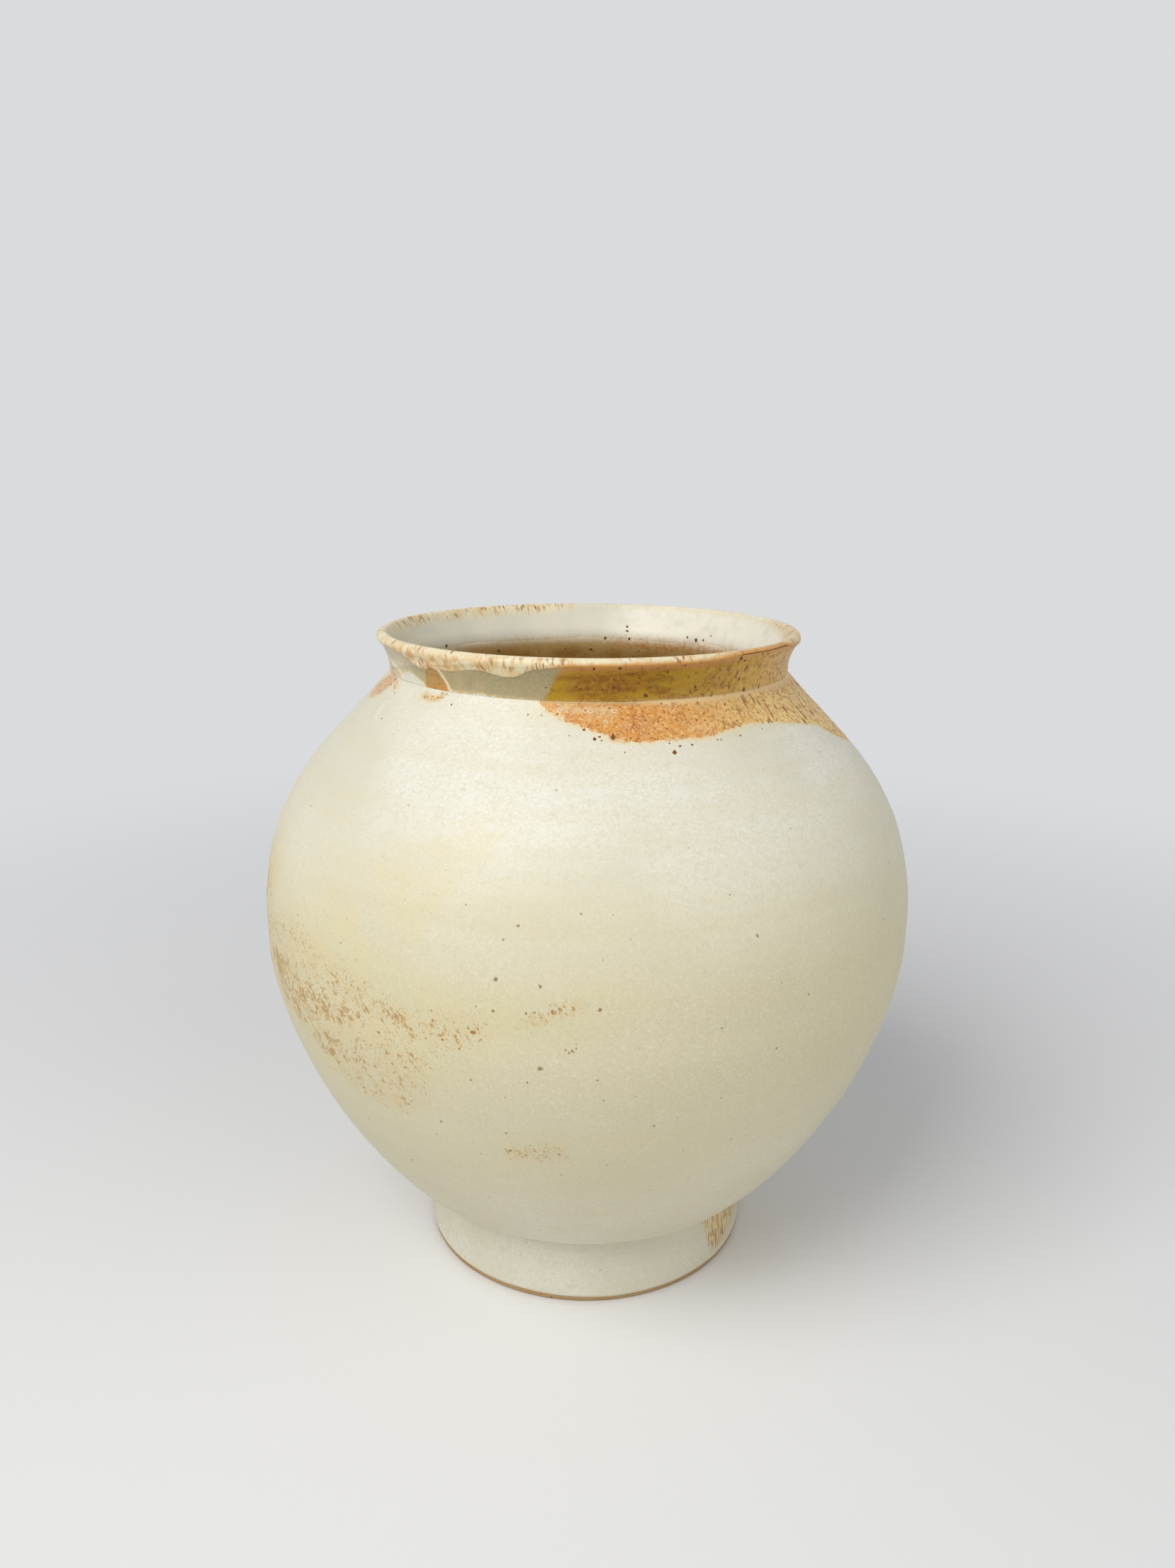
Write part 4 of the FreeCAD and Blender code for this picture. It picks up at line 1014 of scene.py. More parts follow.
# %% [markdown]
# ## Helpers for all materials
# A material is a tree of nodes. One helper adds a node, sets it, joins what it is given and hands back
# its output, so a tree reads as a list of steps. Colours are written in sRGB hex as a paint chart gives
# them and turned to linear light by one function. A pattern's scale is one over its size. The patterns that
# every glaze needs follow: stains where noise is high, scattered dots, and a ragged edge.

# %% Add a node, read a colour, size a pattern, lay a stain


def colour(chart):
    """Linear light from sRGB hex: ((c + 0.055) / 1.055)^2.4, or c / 12.92 near black."""
    c = np.array([int(chart[i : i + 2], 16) for i in (0, 2, 4)]) / 255
    linear = np.where(c > 0.04045, ((c + 0.055) / 1.055) ** 2.4, c / 12.92)
    return (*linear.tolist(), 1.0)


def add(tree, kind, wires=None, out=None, **settings):
    """A node with its settings; a wire is a socket to join, a value or a hex colour. Gives one output."""
    made = tree.nodes.new("ShaderNode" + kind)
    for key, value in settings.items():
        setattr(made, key, value)
    sockets = [socket for socket in made.inputs if socket.enabled]
    for key, value in (wires or {}).items():
        socket = sockets[key] if isinstance(key, int) else next(s for s in sockets if s.name == key)
        if isinstance(value, bpy.types.NodeSocket):
            tree.links.new(value, socket)
        else:
            socket.default_value = colour(value) if isinstance(value, str) else value
    return made.outputs[out] if out else next((s for s in made.outputs if s.enabled), None)


def per(size):
    """Scale of a pattern whose features are about `size` millimetres wide, for coordinates in metres."""
    return 1 / (size * MM)


def new_material(name):
    """An empty material and its tree, with a principled surface; gives the material, tree and shader node."""
    material = bpy.data.materials.new(name)
    material.use_nodes = True
    tree = material.node_tree
    tree.nodes.clear()
    surface = add(tree, "BsdfPrincipled")
    add(tree, "OutputMaterial", {"Surface": surface})
    return material, tree, surface.node


def lay(tree, base, over, amount, by=1.0):
    """Lay a colour over another by an amount times a mask, which is a socket or the name of a vertex mask."""
    if isinstance(by, str):
        by = add(tree, "Attribute", out="Fac", attribute_name=by)
    amount = add(tree, "Math", {0: amount, 1: by}, operation="MULTIPLY")
    return add(tree, "Mix", {"Factor": amount, "A": base, "B": over}, data_type="RGBA")


def stain(tree, base, where, *recipes, by=1.0):
    """Lay colours one after another, each where noise of a size in millimetres passes from low to high.

    A recipe is colour, size, low and high, then the most that it covers, the detail and the roughness."""
    for over, size, low, high, *rest in recipes:
        most, detail, rough = rest + [1.0, 2.0, 0.5][len(rest) :]
        grain = {"Scale": per(size), "Detail": detail, "Roughness": rough}
        noise = add(tree, "TexNoise", {"Vector": where, **grain})
        amount = add(tree, "MapRange", {"Value": noise, "From Min": low, "From Max": high, "To Max": most})
        base = lay(tree, base, over, amount, by)
    return base


def dots(tree, base, over, where, spacing, radius, share, by=1.0):
    """Lay round dots of a radius in millimetres over a colour, one in a share of cells `spacing` wide."""
    cells = add(tree, "TexVoronoi", {"Vector": where, "Scale": per(spacing)}).node
    near, far = 0.7 * radius / spacing, 1.3 * radius / spacing
    close = add(tree, "MapRange", {"Value": cells.outputs["Distance"], "From Min": far, "From Max": near})
    chosen = add(tree, "SeparateColor", {"Color": cells.outputs["Color"]}, out="Red")
    levels = {"From Min": 1 - share, "From Max": 1 - 0.5 * share, "To Max": 0.9}
    chosen = add(tree, "MapRange", {"Value": chosen, **levels})
    amount = add(tree, "Math", {0: close, 1: chosen}, operation="MULTIPLY")
    return lay(tree, base, over, amount, by)


def ragged(tree, where, mask, spread, size, low, high, most=1.0):
    """0 to `most` as a mask in millimetres, give or take `spread` of noise of a size, goes low to high."""
    distance = add(tree, "Attribute", out="Fac", attribute_name=mask)
    noise = add(tree, "TexNoise", {"Vector": where, "Scale": per(size), "Detail": 4.0, "Roughness": 0.6})
    noise = add(tree, "Math", {0: noise, 1: 4 * spread, 2: -2 * spread}, operation="MULTIPLY_ADD")
    distance = add(tree, "Math", {0: distance, 1: noise}, operation="ADD")
    return add(tree, "MapRange", {"Value": distance, "From Min": low, "From Max": high, "To Max": most})


print("a pattern of 1 mm has the scale", per(1))

# %% [markdown]
# ## Cream glaze
# A thick matt white glaze of feldspar and ash. It is full of fine crystals, so its colour mottles at a
# millimetre, drifts from yellowish to greenish over a hand's width, and its gloss is a soft satin. Wood
# ash that settled on one side left a straw-coloured bloom and a brushed field of small brown flecks.

# %% Colours of the cream glaze
# The fourth colour serves both the straw bands of the throwing and the lower body's warmer tone with painted
# shade
CREAM, CREAM_LIGHT, CREAM_GREEN, STRAW_AND_SHADE = "E4DFCA", "F2EFE1", "DFDAC3", "E0D6AE"
# Heights in mm: between the first two the lower body turns warmer and, as painted shade, darker; below the
# third the foot stays whiter
STRAW_AND_SHADE_FROM, STRAW_AND_SHADE_FULL, FOOT_WHITE = 208, 150, 28
ASH_SLOPE = (0.0, 0.873, -0.873)
FLECKS = (
    (1.0, 0.71, 0.25, "D4B780", "B2935C"),
    (1.6, 0.715, 0.22, "D2B079", "AA8A53"),
    (0.6, 0.69, 0.23, "D1B684", "B6975F"),
)


def cream_tree(tree, where):
    """Crystals, slow drift, faint throwing bands, warmer and with painted shade below, whiter on the foot."""
    base = stain(
        tree, CREAM, where,
        (CREAM_LIGHT, 0.9, 0.38, 0.64, 1.0, 3.0, 0.65),
        ("D3CFB2", 1.9, 0.52, 0.68, 0.6, 5.0, 0.75),
        ("FAF8F2", 1.1, 0.56, 0.68, 0.9, 4.0, 0.7),
        ("F0EDE0", 4.5, 0.48, 0.62, 0.6, 6.0, 0.75),
        (CREAM_GREEN, 55, 0.42, 0.66, 0.8),
    )
    banded = add(tree, "Mapping", {"Vector": where, "Scale": (0.3, 0.3, 3.0)})
    base = stain(tree, base, banded, (STRAW_AND_SHADE, 24, 0.45, 0.75, 0.4, 4.0))
    height = add(tree, "SeparateXYZ", {"Vector": where}, out="Z")
    heights = {"Value": height, "From Max": STRAW_AND_SHADE_FULL * MM}
    # Painted shade: from 208 mm down to 150 mm the body is laid darker as well as warmer, and the grains
    # below follow this mask
    below = add(tree, "MapRange", {**heights, "From Min": STRAW_AND_SHADE_FROM * MM, "To Max": 0.82})
    above_foot = add(tree, "MapRange", {**heights, "From Min": FOOT_WHITE * MM, "To Min": 0.12})
    below = add(tree, "Math", {0: below, 1: above_foot}, operation="MINIMUM")
    base = lay(tree, base, STRAW_AND_SHADE, below)
    grains = (("CDC495", 1.5, 0.52, 0.68, 0.45, 5.0, 0.75), ("F6F1DA", 1.0, 0.52, 0.66, 0.6, 4.0, 0.7))
    return stain(tree, base, where, *grains, by=below)


def ash_tree(tree, base, where):
    """The straw bloom, three sizes of flecks whose noise has to pass a level that the ash mask lowers, and
    the golden wash that ran down the foot."""
    base = stain(tree, base, where, ("E8DAAC", 16, 0.30, 0.70, 0.75, 4.0, 0.6), by="straw")
    base = stain(tree, base, where, ("E5CB98", 4, 0.38, 0.64, 0.85, 4.0, 0.65), by="ash")
    ash = add(tree, "Attribute", out="Fac", attribute_name="ash")
    dusted = add(tree, "MapRange", {"Value": ash, "From Min": 0.02, "From Max": 0.2})
    brushed = {"Vector": where, "Rotation": ASH_SLOPE, "Scale": (1.6, 1.0, 1.0)}
    slanted = add(tree, "Mapping", brushed, vector_type="TEXTURE")
    clumps = add(tree, "TexNoise", {"Vector": slanted, "Scale": per(4.0), "Detail": 2.0, "Roughness": 0.6})
    clumps = add(tree, "MapRange", {"Value": clumps, "From Min": 0.32, "From Max": 0.68})
    crowd = add(tree, "Math", {0: clumps, 1: ash}, operation="MULTIPLY")
    for size, level, lowering, pale, dark in FLECKS:
        grain = {"Scale": per(size), "Detail": 3.0, "Roughness": 0.55}
        flecks = add(tree, "TexNoise", {"Vector": slanted, **grain})
        flecks = add(tree, "Math", {0: crowd, 1: lowering, 2: flecks}, operation="MULTIPLY_ADD")
        within = dusted
        for low, high, most, over in ((level - 0.04, level, 0.75, pale), (level, level + 0.07, 1.0, dark)):
            levels = {"From Min": low, "From Max": high, "To Max": most}
            reached = add(tree, "MapRange", {"Value": flecks, **levels})
            within = add(tree, "Math", {0: reached, 1: within}, operation="MULTIPLY")
            base = lay(tree, base, over, within)
    base = dots(tree, base, "9C8F68", where, 8, 0.36, 0.5)
    base = stain(tree, base, where, ("C2AC79", 0.9, 0.66, 0.72, 0.7), by="straw")
    running = add(tree, "Mapping", {"Vector": where, "Scale": (1.0, 1.0, 0.16)})
    base = stain(tree, base, where, ("EBD59A", 3, 0.2, 0.55, 0.8), by="foot_wash")
    drips = (("C99A58", 1.1, 0.50, 0.60, 0.8), ("8F6427", 0.9, 0.58, 0.64, 0.9))
    return stain(tree, base, running, *drips, by="foot_wash")


print("cream in linear light:", np.round(colour(CREAM)[:3], 3))

# %% [markdown]
# ## Amber crystals
# Iron that came through the thin glaze grew into a crowd of small crystals: a rusty orange ground with
# straw-coloured grains a millimetre across and darker rust between them. To the right the crowd thins to
# an ochre with dark flecks that were dragged down the slope as the glaze ran.

# %% Colours of the amber flash
AMBER = "E0A154"


def amber_tree(tree, where, along):
    """Straw grains on orange with rusty hollows, changing to ochre with dark dragged flecks on the right."""
    base = stain(
        tree, AMBER, where,
        ("C57F43", 3.0, 0.46, 0.66, 0.8, 4.0, 0.65),
        ("E3B27C", 7.0, 0.52, 0.66, 0.6),
        ("CB8342", 10.0, 0.50, 0.64, 0.7, 3.0),
        ("F0C57C", 1.5, 0.52, 0.62, 0.75, 3.0, 0.6),
        ("F8DC9E", 0.9, 0.60, 0.70, 0.7),
        ("AE6630", 1.2, 0.58, 0.68, 0.7, 3.0),
    )
    ochre = (("F8DA92", 3.0, 0.15, 0.50, 0.95, 3.0), ("DA9C4E", 2.2, 0.52, 0.62, 0.6, 3.0))
    base = stain(tree, base, where, *ochre, by="to_right")
    sliding = add(tree, "Mapping", {"Vector": along, "Scale": (1.0, 1.0, 0.32)})
    base = stain(tree, base, sliding, ("8E5520", 1.7, 0.60, 0.65, 0.95), by="to_right")
    base = stain(tree, base, where, ("A5602A", 1.0, 0.56, 0.64, 0.75, 3.0))
    # Along the ridge a pale tint, laid paler still as painted light against the shade of the concave neck
    # base
    base = stain(tree, base, where, ("F4D29A", 1.5, 0.15, 0.45, 0.95), by="ridge")
    base = stain(tree, base, where, ("DCC090", 1.8, 0.36, 0.56, 0.85, 3.0), by="frost")
    base = dots(tree, base, "74471C", where, 2.4, 0.36, 0.6)
    return stain(tree, base, along, ("EBCB92", 0.8, 0.58, 0.68, 0.5), by="to_right")


print("amber in linear light:", np.round(colour(AMBER)[:3], 3))

# %% [markdown]
# ## Sage and olive
# The band round the neck is the same ash glaze at two thicknesses: an opaque grey sage where it is thin
# and an oily olive brown where it pooled. The border between them leans and is a little torn. The olive
# turns tan to the right, blushes orange under the lip, and small iron specks sit in it.

# %% Colours of the neck's band
# The third colour is the ridge's pale tint made paler still, painted light against the shade at the neck's
# base
SAGE, OLIVE, RIDGE_TINT_AND_PAINTED_LIGHT = "A99B70", "B68D1A", "F4D29A"


def band_tree(tree, where, along):
    """Sage to olive by a ragged border, brown pools, tan to the right, an orange fringe and iron specks."""
    sage = stain(tree, SAGE, where, ("B6AA88", 1.0, 0.40, 0.62, 0.8, 3.0, 0.7))
    sage = stain(tree, sage, where, ("C2AE84", 6, 0.42, 0.60, 0.7, 3.0), by="to_left")
    sage = stain(tree, sage, where, ("DCCFB0", 4, 0.15, 0.50, 0.85, 3.0), by="far_left")
    flowing = add(tree, "Mapping", {"Vector": where, "Scale": (0.35, 0.35, 1.3)})
    olive = stain(tree, OLIVE, flowing, ("8C5904", 5.0, 0.46, 0.62, 0.9, 5.0, 0.6))
    olive = stain(tree, olive, flowing, ("905408", 3.0, 0.25, 0.55, 0.9, 5.0, 0.6), by="pool")
    olive = stain(tree, olive, where, ("B4932F", 1.1, 0.52, 0.66, 0.6, 3.0))
    olive = stain(tree, olive, where, ("EABC68", 2.0, 0.2, 0.6, 0.9, 3.0), by="to_right")
    # Along the ridge a pale tint, laid paler still as painted light against the shade of the concave neck
    # base
    olive = stain(tree, olive, where, (RIDGE_TINT_AND_PAINTED_LIGHT, 2.0, 0.2, 0.45, 0.95), by="ridge")
    fringe = ragged(tree, along, "above_lip", 0.7, 2.0, -2.4, -0.2, 0.9)
    olive = lay(tree, olive, "CC9055", fringe, by="blushing")
    border = ragged(tree, where, "olive", 0.9, 2.6, -0.5, 1.1)
    base = lay(tree, sage, olive, border)
    to_right = add(tree, "Attribute", out="Fac", attribute_name="to_right")
    specks = add(tree, "MapRange", {"Value": to_right, "To Min": 0.45, "To Max": 1.0})
    specks = add(tree, "Math", {0: specks, 1: border}, operation="MULTIPLY")
    dragged = add(tree, "Mapping", {"Vector": along, "Scale": (1.0, 1.0, 0.55)})
    base = stain(tree, base, dragged, ("75491A", 1.7, 0.615, 0.67, 0.95), by=specks)
    base = dots(tree, base, "6A4518", where, 2.6, 0.34, 0.7, by=specks)
    return lay(tree, base, "EACB98", ragged(tree, where, "above_base", 0.5, 1.3, 1.3, 0.2, 0.6))


print("olive in linear light:", np.round(colour(OLIVE)[:3], 3))

# %% [markdown]
# ## Lip cream
# The fat glaze on the lip is a warm cream. Iron drew out of it in short flecks that all run down the
# slope, inwards and outwards, so their noise is stretched along the unrolled profile. On the right the
# coat is thin outside and blushes orange, and deeper inside it turns a greyer white.

# %% Colours of the lip
LIP_CREAM, INNER_WHITE = "F2E5C2", "E4DFCB"


def inside_tree(tree, along):
    """Greyed white that yellows to the left, with a rusty, mottled brown border creeping up from below."""
    white = stain(tree, INNER_WHITE, along, ("DAD9C6", 22, 0.4, 0.6, 0.8))
    white = stain(tree, white, along, ("D9D0A2", 5, 0.1, 0.6, 0.8), by="to_left")
    # Painted light: the far right wall inside, where the light falls, is laid whiter
    white = stain(tree, white, along, ("FBF6E2", 8, 0.2, 0.5, 0.8), by="far_right")
    rusty = stain(tree, "D2B47E", along, ("CE8238", 1.6, 0.42, 0.56, 0.95, 3.0), by="far_right")
    return lay(tree, white, rusty, ragged(tree, along, "down_inside", 1.6, 1.7, 15.5, 20.5))


def lip_tree(tree, along):
    """Cream with yellow drift and brown flecks down the slope, orange outside on the right, paler inside."""
    down = add(tree, "Attribute", out="Fac", attribute_name="down_inside")
    plain = add(tree, "Attribute", out="Fac", attribute_name="plain")
    left = add(tree, "Attribute", out="Fac", attribute_name="to_left")
    base = stain(tree, LIP_CREAM, along, ("E9CF8E", 6, 0.48, 0.68, 0.7, 3.0))
    base = stain(tree, base, along, ("E2BE7C", 2.5, 0.30, 0.60, 0.7, 3.0), by="to_right")
    deeper = add(tree, "MapRange", {"Value": down, "From Min": 2.5, "From Max": 7.0, "To Max": 0.95})
    deeper = add(tree, "Math", {0: plain, 1: 0.7, 2: deeper}, operation="MULTIPLY_ADD", use_clamp=True)
    base = lay(tree, base, inside_tree(tree, along), deeper)
    base = lay(tree, base, "D99F52", ragged(tree, along, "above_lip", 0.45, 1.6, 1.8, 0.6), by="blushing")
    crowd = add(tree, "TexNoise", {"Vector": along, "Scale": per(9), "Detail": 1.0})
    crowd = add(tree, "MapRange", {"Value": crowd, "From Min": 0.35, "From Max": 0.62})
    shallow = add(tree, "MapRange", {"Value": down, "From Min": 6.5, "From Max": 2.5})
    crowd = add(tree, "Math", {0: crowd, 1: shallow}, operation="MULTIPLY")
    sparse = add(tree, "MapRange", {"Value": plain, "To Min": 1.0, "To Max": 0.15})
    crowd = add(tree, "Math", {0: crowd, 1: sparse}, operation="MULTIPLY")
    base = stain(tree, base, along, ("DFB274", 5.0, 0.50, 0.62, 0.45, 3.0), by=crowd)
    under = add(tree, "MapRange", {"Value": down, "From Min": -1.2, "From Max": -3.4})
    under = add(tree, "Math", {0: under, 1: left}, operation="MULTIPLY")
    base = stain(tree, base, along, ("DBA661", 2.6, 0.46, 0.60, 0.7, 3.0), by=under)
    turning = add(tree, "MapRange", {"Value": down, "From Min": 0.8, "From Max": 2.0})
    fleck = lay(tree, "96622A", "8A7636", turning)
    sloping = add(tree, "Mapping", {"Vector": along, "Scale": (1.0, 1.0, 0.34)})
    flecks = (("D09A54", 1.4, 0.56, 0.64, 0.8), (fleck, 1.15, 0.59, 0.66, 0.95))
    return stain(tree, base, sloping, *flecks, by=crowd)


print("lip cream in linear light:", np.round(colour(LIP_CREAM)[:3], 3))

# %% [markdown]
# ## Putting the glazes on the coats
# Each coat's material joins its own colour to its neighbours' at the shared boundary, with the same ragged
# distance on both sides, so the colours meet even where two coats cross. Gloss is satin: glass under a
# skin of crystals, so it is rough and reflects less than clear glass. The bump is hundredths of a millimetre.

# %% Make and assign the glaze materials
GLASS_IOR, SATIN_SPECULAR = 1.5, 0.36


def satin(tree, surface, base, where, rough, crystal, height):
    """Satin gloss with crystals: noise roughens the gloss a little and lifts the skin by its height."""
    tree.links.new(base, surface.inputs["Base Color"])
    fine = add(tree, "TexNoise", {"Vector": where, "Scale": per(crystal), "Detail": 3.0, "Roughness": 0.6})
    levels = {"From Min": 0.3, "From Max": 0.7, "To Min": rough - 0.08, "To Max": rough + 0.10}
    tree.links.new(add(tree, "MapRange", {"Value": fine, **levels}), surface.inputs["Roughness"])
    pits = add(tree, "TexNoise", {"Vector": where, "Scale": per(crystal * 5), "Detail": 2.0})
    total = add(tree, "Math", {0: pits, 1: 2.0, 2: fine}, operation="MULTIPLY_ADD")
    bumped = add(tree, "Bump", {"Height": total, "Distance": height * MM, "Strength": 1.0})
    tree.links.new(bumped, surface.inputs["Normal"])
    surface.inputs["IOR"].default_value = GLASS_IOR
    surface.inputs["Specular IOR Level"].default_value = SATIN_SPECULAR


def exterior(name, rough, own):
    """A material for a coat on the outside: its own colour, and its neighbours' past the shared edges."""
    material, tree, surface = new_material(name)
    where = add(tree, "TexCoord", out="Object")
    along = add(tree, "Attribute", out="Vector", attribute_name="unrolled")
    base = cream_tree(tree, where)
    if own == "cream":
        base = ash_tree(tree, base, where)
    base = lay(tree, base, "F0D296", ragged(tree, where, "amber", 1.1, 1.9, -1.7, 0.6, 0.75))
    base = lay(tree, base, amber_tree(tree, where, along), ragged(tree, where, "amber", 1.1, 1.9, -0.3, 0.5))
    if own != "cream":
        on_band = ragged(tree, where, "above_base", 0.6, 1.3, -0.2, 0.25)
        base = lay(tree, base, band_tree(tree, where, along), on_band)
        pane = lay(tree, "DB9448", "BE9450", ragged(tree, where, "above_base", 0.4, 1.6, 0.6, 2.4))
        pane = stain(tree, pane, where, ("9C7A3C", 1.4, 0.50, 0.62, 0.7, 4.0))
        base = lay(tree, base, pane, ragged(tree, where, "window", 0.7, 1.6, -0.3, 0.4))
        run = add(tree, "Attribute", out="Fac", attribute_name="run")
        run = add(tree, "MapRange", {"Value": run, "From Min": 0.3, "From Max": 0.75, "To Max": 0.9})
        base = lay(tree, base, "EBDBB5", run)
    rust = (("E0A654", 1.6, 0.30, 0.56, 0.9, 3.0), ("94551F", 0.9, 0.52, 0.62, 0.9, 3.0))
    base = stain(tree, base, where, *rust, by="streak")
    straw = (("DDB765", 1.4, 0.2, 0.5, 0.8), ("96652C", 0.8, 0.54, 0.64, 0.85))
    base = stain(tree, base, where, *straw, by="smudge")
    if own == "lip":
        base = lay(tree, base, lip_tree(tree, along), ragged(tree, where, "above_lip", 0.1, 1.0, -0.15, 0.15))
    satin(tree, surface, base, where, rough, 0.8, 0.05)
    return material


for piece, name, rough, own in (
    (cream_coat, "cream_ash_glaze", 0.46, "cream"),
    (flash_coat, "amber_crystal_glaze", 0.46, "amber"),
    (neck_coat, "sage_and_olive_glaze", 0.38, "band"),
    (lip_coat, "lip_cream_glaze", 0.40, "lip"),
):
    piece.data.materials.append(exterior(name, rough, own))
    print(name, "has", len(piece.data.materials[0].node_tree.nodes), "nodes")

# %% [markdown]
# ## The inside, the clay and the specks
# Inside, the glaze is laid a pale, yellowish olive that pools browner, under a cream top and a soft rusty
# border; the paleness is painted light against the shade inside the neck. Bare stoneware is matt,
# open-grained and speckled, and the fired slip is a little paler. The specks are iron glass, dark in the
# core and tea-brown at the rim. A healed blister is a pale ring round a brown dot.

# %% Glaze the inside and the well
liner_material, tree, surface = new_material("olive_liner_glaze")
where = add(tree, "TexCoord", out="Object")
along = add(tree, "Attribute", out="Vector", attribute_name="unrolled")
pools = (("D6B066", 14, 0.40, 0.62, 1.0, 5.0, 0.6), ("7E5C26", 1.2, 0.64, 0.72, 0.8))
# Painted light: the ground is a pale straw, lighter than the olive glaze, against the shade inside the neck;
# the pools and dark grains are the glaze's own
pooled_with_painted_light = stain(tree, "F2D792", where, *pools)
to_olive = ragged(tree, along, "down_inside", 1.4, 2.4, 19.5, 24.5)
satin(tree, surface, lay(tree, inside_tree(tree, along), pooled_with_painted_light, to_olive), where, 0.38, 1.0, 0.03)
liner_coat.data.materials.append(liner_material)

well_material, tree, surface = new_material("thin_cream_wash")
where = add(tree, "TexCoord", out="Object")
thin_places = (("D2BF95", 12, 0.40, 0.65, 1.0, 6.0, 0.65), ("A07F52", 0.9, 0.66, 0.72, 0.8))
washed = stain(tree, "E3DAC0", where, *thin_places)
satin(tree, surface, washed, where, 0.5, 0.9, 0.04)
well_coat.data.materials.append(well_material)
print("glazed:", liner_coat.name, well_coat.name)

# %% Give the clay and the slip their materials
CLAY_ROUGHNESS = 0.9


def bare_clay(name, pale, dark):
    """Fired clay: sandy grain at half a millimetre, slow scorching, scattered dark grog, no gloss."""
    material, tree, surface = new_material(name)
    where = add(tree, "TexCoord", out="Object")
    base = stain(tree, dark, where, (pale, 0.5, 0.25, 0.75, 1.0, 4.0, 0.7))
    base = stain(tree, base, where, ("B58553", 18, 0.45, 0.70, 0.6, 3.0))
    grog = add(tree, "TexVoronoi", {"Vector": where, "Scale": per(2.4)})
    grog = add(tree, "MapRange", {"Value": grog, "From Min": 0.16, "From Max": 0.10})
    tree.links.new(lay(tree, base, "6F5A41", grog), surface.inputs["Base Color"])
    surface.inputs["Roughness"].default_value = CLAY_ROUGHNESS
    grain = add(tree, "TexNoise", {"Vector": where, "Scale": per(0.5), "Detail": 4.0, "Roughness": 0.7})
    bumped = add(tree, "Bump", {"Height": grain, "Distance": 0.08 * MM, "Strength": 1.0})
    tree.links.new(bumped, surface.inputs["Normal"])
    return material


stoneware = bare_clay("bare_stoneware", "CCAE80", "A08358")
fired_slip = bare_clay("fired_joining_slip", "CBB796", "A3906F")
foot_piece.data.materials.append(stoneware)
for name, material in (("lower_bowl", stoneware), ("upper_bowl", stoneware), ("neck_collar", stoneware),
                       ("foot_slip", fired_slip), ("waist_slip", fired_slip), ("neck_slip", fired_slip)):
    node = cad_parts[name]
    node.data.materials.clear()
    node.data.materials.append(material)
    print(name, "is", material.name)

# %% Give the specks their glass
GLASS_ROUGHNESS = 0.42


def iron_glass(name, charts):
    """Molten grains: colours from the rim inwards to the core by the vertex mask, with an uneven edge."""
    material, tree, surface = new_material(name)
    where = add(tree, "TexCoord", out="Object")
    core = add(tree, "Attribute", out="Fac", attribute_name="core")
    uneven = add(tree, "TexNoise", {"Vector": where, "Scale": per(0.5), "Detail": 2.0})
    core = add(tree, "Math", {0: uneven, 1: 0.3, 2: core}, operation="MULTIPLY_ADD")
    base, *inner = charts
    for step, chart in enumerate(inner):
        low = 0.15 + 0.75 * step / len(inner)
        reached = add(tree, "MapRange", {"Value": core, "From Min": low, "From Max": low + 0.3})
        base = lay(tree, base, chart, reached)
    tree.links.new(base, surface.inputs["Base Color"])
    surface.inputs["Roughness"].default_value = GLASS_ROUGHNESS
    surface.inputs["Specular IOR Level"].default_value = SATIN_SPECULAR
    return material


for piece, name, *charts in (
    (iron_specks, "iron_speck_in_cream", "D8CBA6", "A8976F", "8C7B54"),
    (flash_specks, "iron_speck_by_flash", "CE9C60", "80501F", "593719"),
    (neck_specks, "iron_speck_in_olive", "96692A", "76501E", "5C3D14"),
    (inner_specks, "iron_speck_in_lip", "B99A66", "6B4A22", "3B2A14"),
    (ash_beads, "ash_bead_glass", "DCC294", "C39B63", "A67C48"),
    (blisters, "healed_blister_glass", "D9A870", "F1DCB8", "D9A66E", "A2713C"),
):
    piece.data.materials.append(iron_glass(name, charts))
print("materials:", sorted(m.name for m in bpy.data.materials))

# %% [markdown]
# ## Floor and light
# The jar stands on a plain pale floor. One large soft lamp high in front to the left gives the broad
# sheen on the shoulder. A weak one on the right and a pale surround fill the rest, so colours render
# about as they are written. Far from the jar the floor takes the surround's own paleness, in what the
# camera and the reflections see, so no horizon shows.

# %% Lay the floor and hang the lamps
SURROUND, SURROUND_LIGHT = "DADBDD", (0.34, 0.345, 0.36, 1)
FLOOR_RADIUS, FLOOR_SIDES = 6, 96
FADE_FROM, FADE_TO = 0.2, 0.85


def on_show(tree):
    """The light path, and 1 for its rays from the camera or off a glossy surface."""
    rays = add(tree, "LightPath").node
    shown = {0: rays.outputs["Is Camera Ray"], 1: rays.outputs["Is Glossy Ray"]}
    return rays, add(tree, "Math", shown, operation="MAXIMUM")


floor_round = np.linspace(0, 2 * np.pi, FLOOR_SIDES, endpoint=False)
floor_points = FLOOR_RADIUS * np.stack([np.sin(floor_round), -np.cos(floor_round), 0 * floor_round], -1)
floor_mesh = bpy.data.meshes.new("floor")
floor_mesh.from_pydata(floor_points.tolist(), [], [list(range(FLOOR_SIDES))])
floor = bpy.data.objects.new("floor", floor_mesh)
bpy.context.scene.collection.objects.link(floor)
floor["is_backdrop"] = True
floor_material, tree, surface = new_material("pale_paper_floor")
surface.inputs["Roughness"].default_value = 0.9
where = add(tree, "TexCoord", out="Object")
far = add(tree, "VectorMath", {0: where}, out="Value", operation="LENGTH")
fade = {"Value": far, "From Min": FADE_FROM, "From Max": FADE_TO}
far = add(tree, "MapRange", fade, interpolation_type="SMOOTHSTEP")
rays, shown = on_show(tree)
far = add(tree, "Math", {0: far, 1: shown}, operation="MULTIPLY")
plain = add(tree, "Emission", {"Color": SURROUND, "Strength": 1.0})
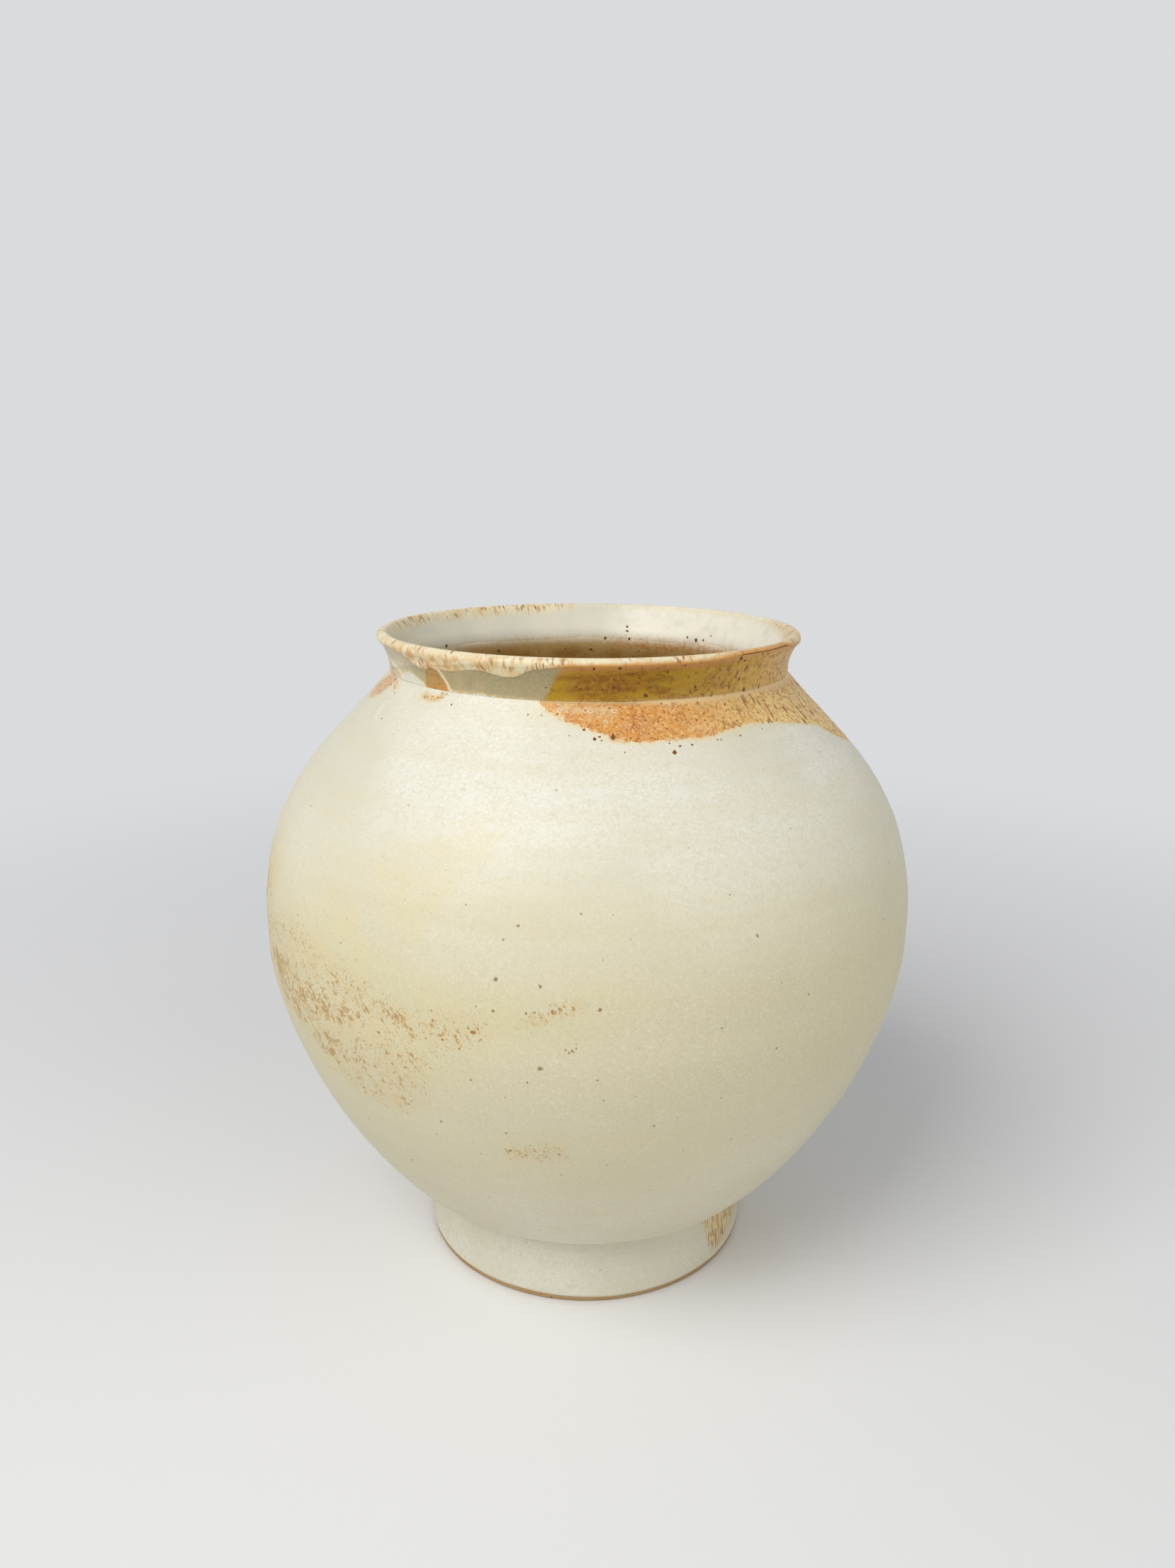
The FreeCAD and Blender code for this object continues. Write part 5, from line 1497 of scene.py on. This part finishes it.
tree.links.new(lay(tree, "E3E2E0", "F3F3F3", rays.outputs["Is Camera Ray"]), surface.inputs["Base Color"])
mixed = add(tree, "MixShader", {0: far, 1: surface.outputs["BSDF"], 2: plain})
end = next(node for node in tree.nodes if node.type == "OUTPUT_MATERIAL")
tree.links.new(mixed, end.inputs["Surface"])
floor_mesh.materials.append(floor_material)


def soft_lamp(name, position, aim, size, power, tint):
    """A square area lamp that looks from its position at a point, both in metres."""
    lamp = bpy.data.lights.new(name, "AREA")
    lamp.size, lamp.energy, lamp.color = size, power, tint
    back = np.subtract(position, aim) / np.linalg.norm(np.subtract(position, aim))
    side = np.cross((0, 0, 1), back)
    side = side / np.linalg.norm(side)
    matrix = np.eye(4)
    matrix[:3] = np.column_stack([side, np.cross(back, side), back, position])
    hung = bpy.data.objects.new(name, lamp)
    hung.matrix_world = matrix.T.tolist()
    bpy.context.scene.collection.objects.link(hung)
    print(name, "hangs", round(float(np.linalg.norm(position)), 2), "m from the jar's foot")


soft_lamp("window_light", (-0.68, -0.82, 1.25), (0, 0, 0.14), size=0.9, power=14.4, tint=(1.0, 0.995, 0.98))
soft_lamp("fill_light", (0.9, -0.7, 0.7), (0, 0, 0.12), size=1.2, power=3.0, tint=(1.0, 1.0, 1.0))

world = bpy.data.worlds.new("pale_surround")
bpy.context.scene.world = world
world.use_nodes = True
tree = world.node_tree
tree.nodes.clear()
rays, shown = on_show(tree)
shown = add(tree, "Math", {0: shown, 1: rays.outputs["Is Transmission Ray"]}, operation="MAXIMUM")
background = add(tree, "Background", {"Color": lay(tree, SURROUND_LIGHT, SURROUND, shown), "Strength": 1.0})
add(tree, "OutputWorld", {"Surface": background})
bpy.context.scene.view_settings.view_transform = "Standard"

# %% [markdown]
# ## The size and finish
# The boxes of the dressed jar and of the plain one are both printed, in millimetres.

# %% Print the boxes and finish
dressed_box = [list(map(float, corner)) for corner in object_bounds()]
for name, box in (("frame", cad_box), ("dressed", dressed_box)):
    print(name, "box in mm:", [[round(v / MM, 2) for v in corner] for corner in box])
